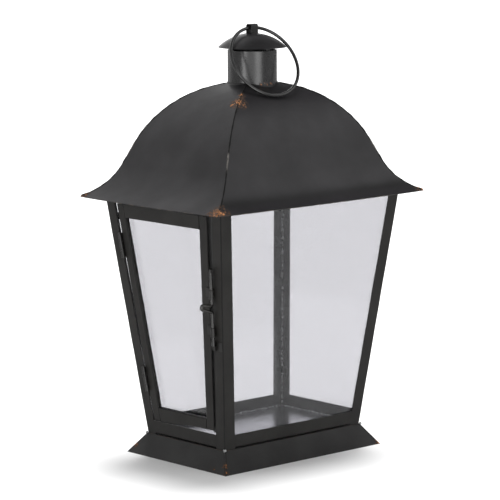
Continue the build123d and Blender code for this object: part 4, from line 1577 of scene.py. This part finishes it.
@dataclass
class Chimney:
    """Chimney tube, its domed cap on three stays, the strap and the carry ring.

    Attributes:
        sheet: thickness.
        out_of_round: the tube's, as a share of its radius.
        rust_height: height of the rust at its foot.
        cap_lip: radius of the cap's rolled rim.
        strap_sheet: the strap's thickness.
        strap_half_span: half the width of its arch.
        strap_bend: radius of its folds' middle line.
        strap_edge: rounding of its side edges.
        segments: stations round the axis.
    """

    sheet: float = 0.8 * MM
    out_of_round: float = 0.0015
    rust_height: float = 371.4 * MM
    cap_lip: float = 0.6 * MM
    strap_sheet: float = 0.9 * MM
    strap_half_span: float = 4.2 * MM
    strap_bend: float = 2.2 * MM
    strap_edge: float = 0.9 * MM
    segments: int = 120

    def build(self, record: dict) -> None:
        """Makes the tube, the cap, the strap and the ring.

        Args:
            record: the part's record.
        """
        self.tube()
        self.cap()
        keep_node("cap_stays", TAB_METAL)
        self.strap()
        self.ring(record)

    def tube(self) -> None:
        """Rolled tube: a closed outline of its wall turned about Z, barely out of round."""
        low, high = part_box("chimney_tube")
        share = np.array([0.0, 0.01, 0.3, 0.6, 0.9, 0.975, 1.0])
        height = low[2] + (high[2] - low[2]) * share
        outer = np.stack([np.full(len(height), high[0]), height], -1)
        inner = np.stack([np.full(len(height), high[0] - self.sheet), height[::-1]], -1)
        loop = np.concatenate([outer, inner])
        marks = {"worn": (loop[:, 1] > high[2] - SAME_HEIGHT).astype(float),
                 "inner": np.repeat([0.0, 1.0], len(height))}
        front = ((-9.0 * MM, -22.9 * MM), (-3.0 * MM, -24.4 * MM), (3.0 * MM, -24.4 * MM))
        rust = tuple(Spot((x, y, self.rust_height), 3.4 * MM) for x, y in front)
        paint = PaintedSheet("chimney_paint", (0.0110, 0.0106, 0.0110), (0.0185, 0.0180, 0.0185),
                             roughness=0.25, specular=0.85, rust=rust)
        piece = lathe("chimney_wall", loop, marks, self.segments, self.out_of_round)
        deliver(piece, "body", paint, ("chimney_tube",))

    def cap(self) -> None:
        """Domed cap with a rolled rim: a sphere's arc, a half turn and the arc inside it."""
        low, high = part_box("chimney_cap")
        radius, rise = high[0], high[2] - low[2]
        sphere = (radius ** 2 + rise ** 2) / (2 * rise)
        centre = high[2] - sphere
        lip = self.cap_lip
        limit = np.arcsin((radius - 0.4 * lip) / sphere)
        angle = np.linspace(0.006, limit, 40)
        outer = np.stack([sphere * np.sin(angle), centre + sphere * np.cos(angle)], -1)
        middle = outer[-1] - lip * np.array([sin(limit), cos(limit)])
        turn = np.linspace(limit, pi, 9)[1:]
        rim = middle + lip * np.stack([np.sin(turn), np.cos(turn)], -1)
        hollow = sphere - self.sheet
        inner = np.stack([hollow * np.sin(angle), centre + hollow * np.cos(angle)], -1)
        inner = inner[inner[:, 0] < middle[0] - 0.3 * MM][::-1]
        loop = np.concatenate([outer, rim, inner])
        loop[:, 1] = np.maximum(loop[:, 1], low[2])
        inside = np.repeat([0.0, 1.0], (len(outer) + len(rim), len(inner)))
        marks = {"worn": np.clip((loop[:, 0] - radius + 1.0 * MM) / MM, 0, 1) * 0.8,
                 "inner": inside}
        finish = PaintedSheet("cap_paint", (0.0110, 0.0106, 0.0112), (0.0175, 0.0170, 0.0178),
                              roughness=0.32, specular=0.42, wear=0.4)
        piece = lathe("cap_dome", loop, marks, self.segments)
        deliver(piece, "body", finish, ("chimney_cap",))

    def strap(self) -> None:
        """Strap that holds the ring: a folded strip's outline carried along X."""
        low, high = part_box("ring_strap")
        half = self.strap_sheet / 2
        foot = low[2] + half
        span = self.strap_half_span - half
        toe = high[1]
        route = [(-toe, foot), (-span, foot), (-span, high[2] - half), (span, high[2] - half),
                 (span, foot), (toe, foot)]
        outline, marks = folded_sheet(route, self.strap_sheet, self.strap_bend, steps=10)
        marks["inner"] = np.zeros(len(outline))
        turn = np.linspace(0.0, pi / 2, 8)
        edge = self.strap_edge * (1 - np.sin(turn))
        x = np.concatenate([low[0] + edge, [0.0], high[0] - edge[::-1]])
        corner = 1 - np.cos(turn) * 0.95
        ease = np.concatenate([corner, [1.0], corner[::-1]])[:, None, None]
        line = (outline + outline[::-1]) / 2
        rings = np.zeros((len(x), len(outline), 3))
        rings[..., 0] = x[:, None]
        rings[..., 1:] = line[None] + (outline - line)[None] * ease
        piece = bar("cap_strap", rings, marks)
        deliver(piece, "body", FITTING_PAINT, ("ring_strap",))

    def ring(self, record: dict) -> None:
        """Carry ring: a round wire on the CAD ring's own circle.

        Args:
            record: the part's record, which holds the ring's axis.
        """
        points = vertices("carry_ring")
        joint = next(j for j in record["behaviour"]["joints"] if j["name"] == "ring_swing")
        eye = np.array(joint["pos_m"])
        axis = unit(np.array(joint["axis"]))
        lowest = points[np.argmax(np.linalg.norm(points - eye, axis=1))]
        down = unit(lowest - eye - axis * ((lowest - eye) @ axis))
        thickness = np.ptp(points @ np.cross(axis, down))
        radius = (np.ptp(points @ axis) - thickness) / 2
        angle = np.linspace(0, 2 * pi, 160, endpoint=False)[:, None]
        centre = eye + down * radius
        circle = centre + radius * (-np.cos(angle) * down + np.sin(angle) * axis)
        piece = wire("ring_wire", circle, thickness / 2, 20, closed=True)
        deliver(piece, "ring", RING_PAINT, ("carry_ring",))


# --------------------------------------------------------------------------- the studio
@dataclass(frozen=True)
class SoftBox:
    """A soft box seen in reflections: its direction, its two radii and its radiance.

    Angles are in degrees; the azimuth runs from +X towards +Y.

    Attributes:
        azimuth: direction in plan.
        elevation: height above the horizon.
        inner: radius of its full brightness.
        outer: radius at which it ends.
        glow: its radiance, which is less than zero to take light away.
    """

    azimuth: float
    elevation: float
    inner: float
    outer: float
    glow: float


@dataclass
class Studio:
    """Pale floor, soft lights and the camera.

    Attributes:
        floor_size: half the floor's length, in metres.
        floor_albedo: how pale it is.
        ambient: light from all round, on diffuse surfaces.
        overhead: radiance above, in reflections.
        underfoot: radiance below, in reflections.
        horizon: sines of the heights between which one becomes the other.
        boxes: the soft boxes.
        key_place: direction of the key lamp.
        key_spread: its apparent size.
        key_strength: its strength.
        azimuth: the camera's direction, from the front towards +X.
        elevation: the camera's height above the horizon.
        distance: the camera's distance from the aim.
        aim: the point that it looks at.
        aside: how far it stands to the right of that line.
        roll: its tilt.
        lens: its focal length, in millimetres.
    """

    floor_size: float = 30.0
    floor_albedo: float = 0.88
    ambient: float = 0.71
    overhead: float = 0.13
    underfoot: float = 0.5
    horizon: tuple[float, float] = (-0.12, 0.06)
    boxes: tuple[SoftBox, ...] = (SoftBox(95, 32, 30, 42, 0.6), SoftBox(-41, 30, 16, 32, 0.8),
                                  SoftBox(50, 9, 10, 18, 1.6), SoftBox(-104, -6, 8, 20, 1.8),
                                  SoftBox(-130, -6, 28, 44, 0.85), SoftBox(-171, -5, 5, 12, 4.0),
                                  SoftBox(-171, 9, 4, 10, 1.6), SoftBox(-48, 58, 5, 14, 0.4),
                                  SoftBox(-90, 40, 8, 24, 0.5), SoftBox(-180, 40, 8, 26, 0.6),
                                  SoftBox(0, 88, 14, 40, -0.12))
    key_place: tuple[float, float, float] = (0.62, 0.42, 3.0)
    key_spread: float = radians(26.0)
    key_strength: float = 3.9
    azimuth: float = radians(-42.01)
    elevation: float = radians(8.657)
    distance: float = 2.767
    aim: tuple[float, float, float] = (0.0, 0.0, 0.2029)
    aside: float = -0.0033
    roll: float = radians(-0.317)
    lens: float = 198.3

    def build(self) -> None:
        """Sets the floor, the lights, the world and the camera."""
        self.floor()
        self.lights()
        self.camera()
        bpy.context.scene.view_settings.view_transform = "Standard"

    def floor(self) -> None:
        """A large pale floor, left out of reflections so that the paint mirrors the lamps."""
        size = self.floor_size
        corners = np.array([[-size, -size, 0], [size, -size, 0], [size, size, 0], [-size, size, 0]],
                           float)
        piece = finish_mesh("studio_floor", corners, [[0, 1, 2, 3]])
        tree = Shader("studio_floor")
        tree.principled.inputs["Base Color"].default_value = (*[self.floor_albedo] * 3, 1)
        tree.principled.inputs["Roughness"].default_value = 0.9
        tree.principled.inputs["Specular IOR Level"].default_value = 0.1
        piece.data.materials.append(tree.material)
        piece.visible_glossy = False

    def lights(self) -> None:
        """A white world for diffuse light, soft boxes in its reflections, and the key lamp.

        In reflections the world is dim overhead and brighter below the horizon, and each
        soft box is a patch round a direction that fades out between two angles.
        """
        world = bpy.data.worlds.new("studio")
        world.use_nodes = True
        tree = Tree(world.node_tree)
        direction = tree.nodes.new("ShaderNodeTexCoord").outputs["Generated"]
        glow = tree.ramp(tree.height(direction), *self.horizon, self.underfoot, self.overhead)
        for box in self.boxes:
            azimuth, elevation = radians(box.azimuth), radians(box.elevation)
            towards = (cos(azimuth) * cos(elevation), sin(azimuth) * cos(elevation), sin(elevation))
            facing = tree.measure("DOT_PRODUCT", direction, towards)
            patch = tree.ramp(facing, cos(radians(box.outer)), cos(radians(box.inner)), 0.0,
                              box.glow)
            glow = tree.math("ADD", glow, patch)
        rays = tree.nodes.new("ShaderNodeLightPath")
        choice = tree.nodes.new("ShaderNodeMix")
        choice.inputs[2].default_value = self.ambient
        tree.links.new(rays.outputs["Is Glossy Ray"], choice.inputs[0])
        tree.links.new(glow, choice.inputs[3])
        background = tree.nodes["Background"]
        tree.links.new(choice.outputs[0], background.inputs["Strength"])
        background.inputs["Color"].default_value = (1, 1, 1, 1)
        bpy.context.scene.world = world
        self.key()

    def key(self) -> None:
        """The key lamp, left out of reflections."""
        light = bpy.data.lights.new("key", "SUN")
        light.energy = self.key_strength
        light.angle = self.key_spread
        lamp = bpy.data.objects.new("key", light)
        lamp.location = self.key_place
        lamp.rotation_euler = (-Vector(self.key_place)).to_track_quat("-Z", "Y").to_euler()
        lamp.visible_glossy = False
        bpy.context.scene.collection.objects.link(lamp)

    def camera(self) -> None:
        """The camera, at the viewing angle that shows the door and the front."""
        away = Vector((sin(self.azimuth) * cos(self.elevation),
                       -cos(self.azimuth) * cos(self.elevation), sin(self.elevation)))
        level = Vector((cos(self.azimuth), sin(self.azimuth), 0))
        up = away.cross(level)
        right = level * cos(self.roll) + up * sin(self.roll)
        top = up * cos(self.roll) - level * sin(self.roll)
        place = Vector(self.aim) + level * self.aside + away * self.distance
        data = bpy.data.cameras.new("camera")
        data.lens = self.lens
        data.sensor_width = 36.0
        data.clip_end = 100.0
        camera = bpy.data.objects.new("camera", data)
        turn = Matrix((right, top, away)).transposed().to_4x4()
        camera.matrix_world = Matrix.Translation(place) @ turn
        bpy.context.scene.collection.objects.link(camera)
        bpy.context.scene.camera = camera


def main() -> None:
    logging.basicConfig(level=logging.INFO, format="%(name)s: %(message)s")
    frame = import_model()
    record = frame["record"]
    Base().build()
    Body().build()
    Door().build()
    Roof().build()
    Chimney().build(record)
    Studio().build()


if __name__ == "__main__":
    main()
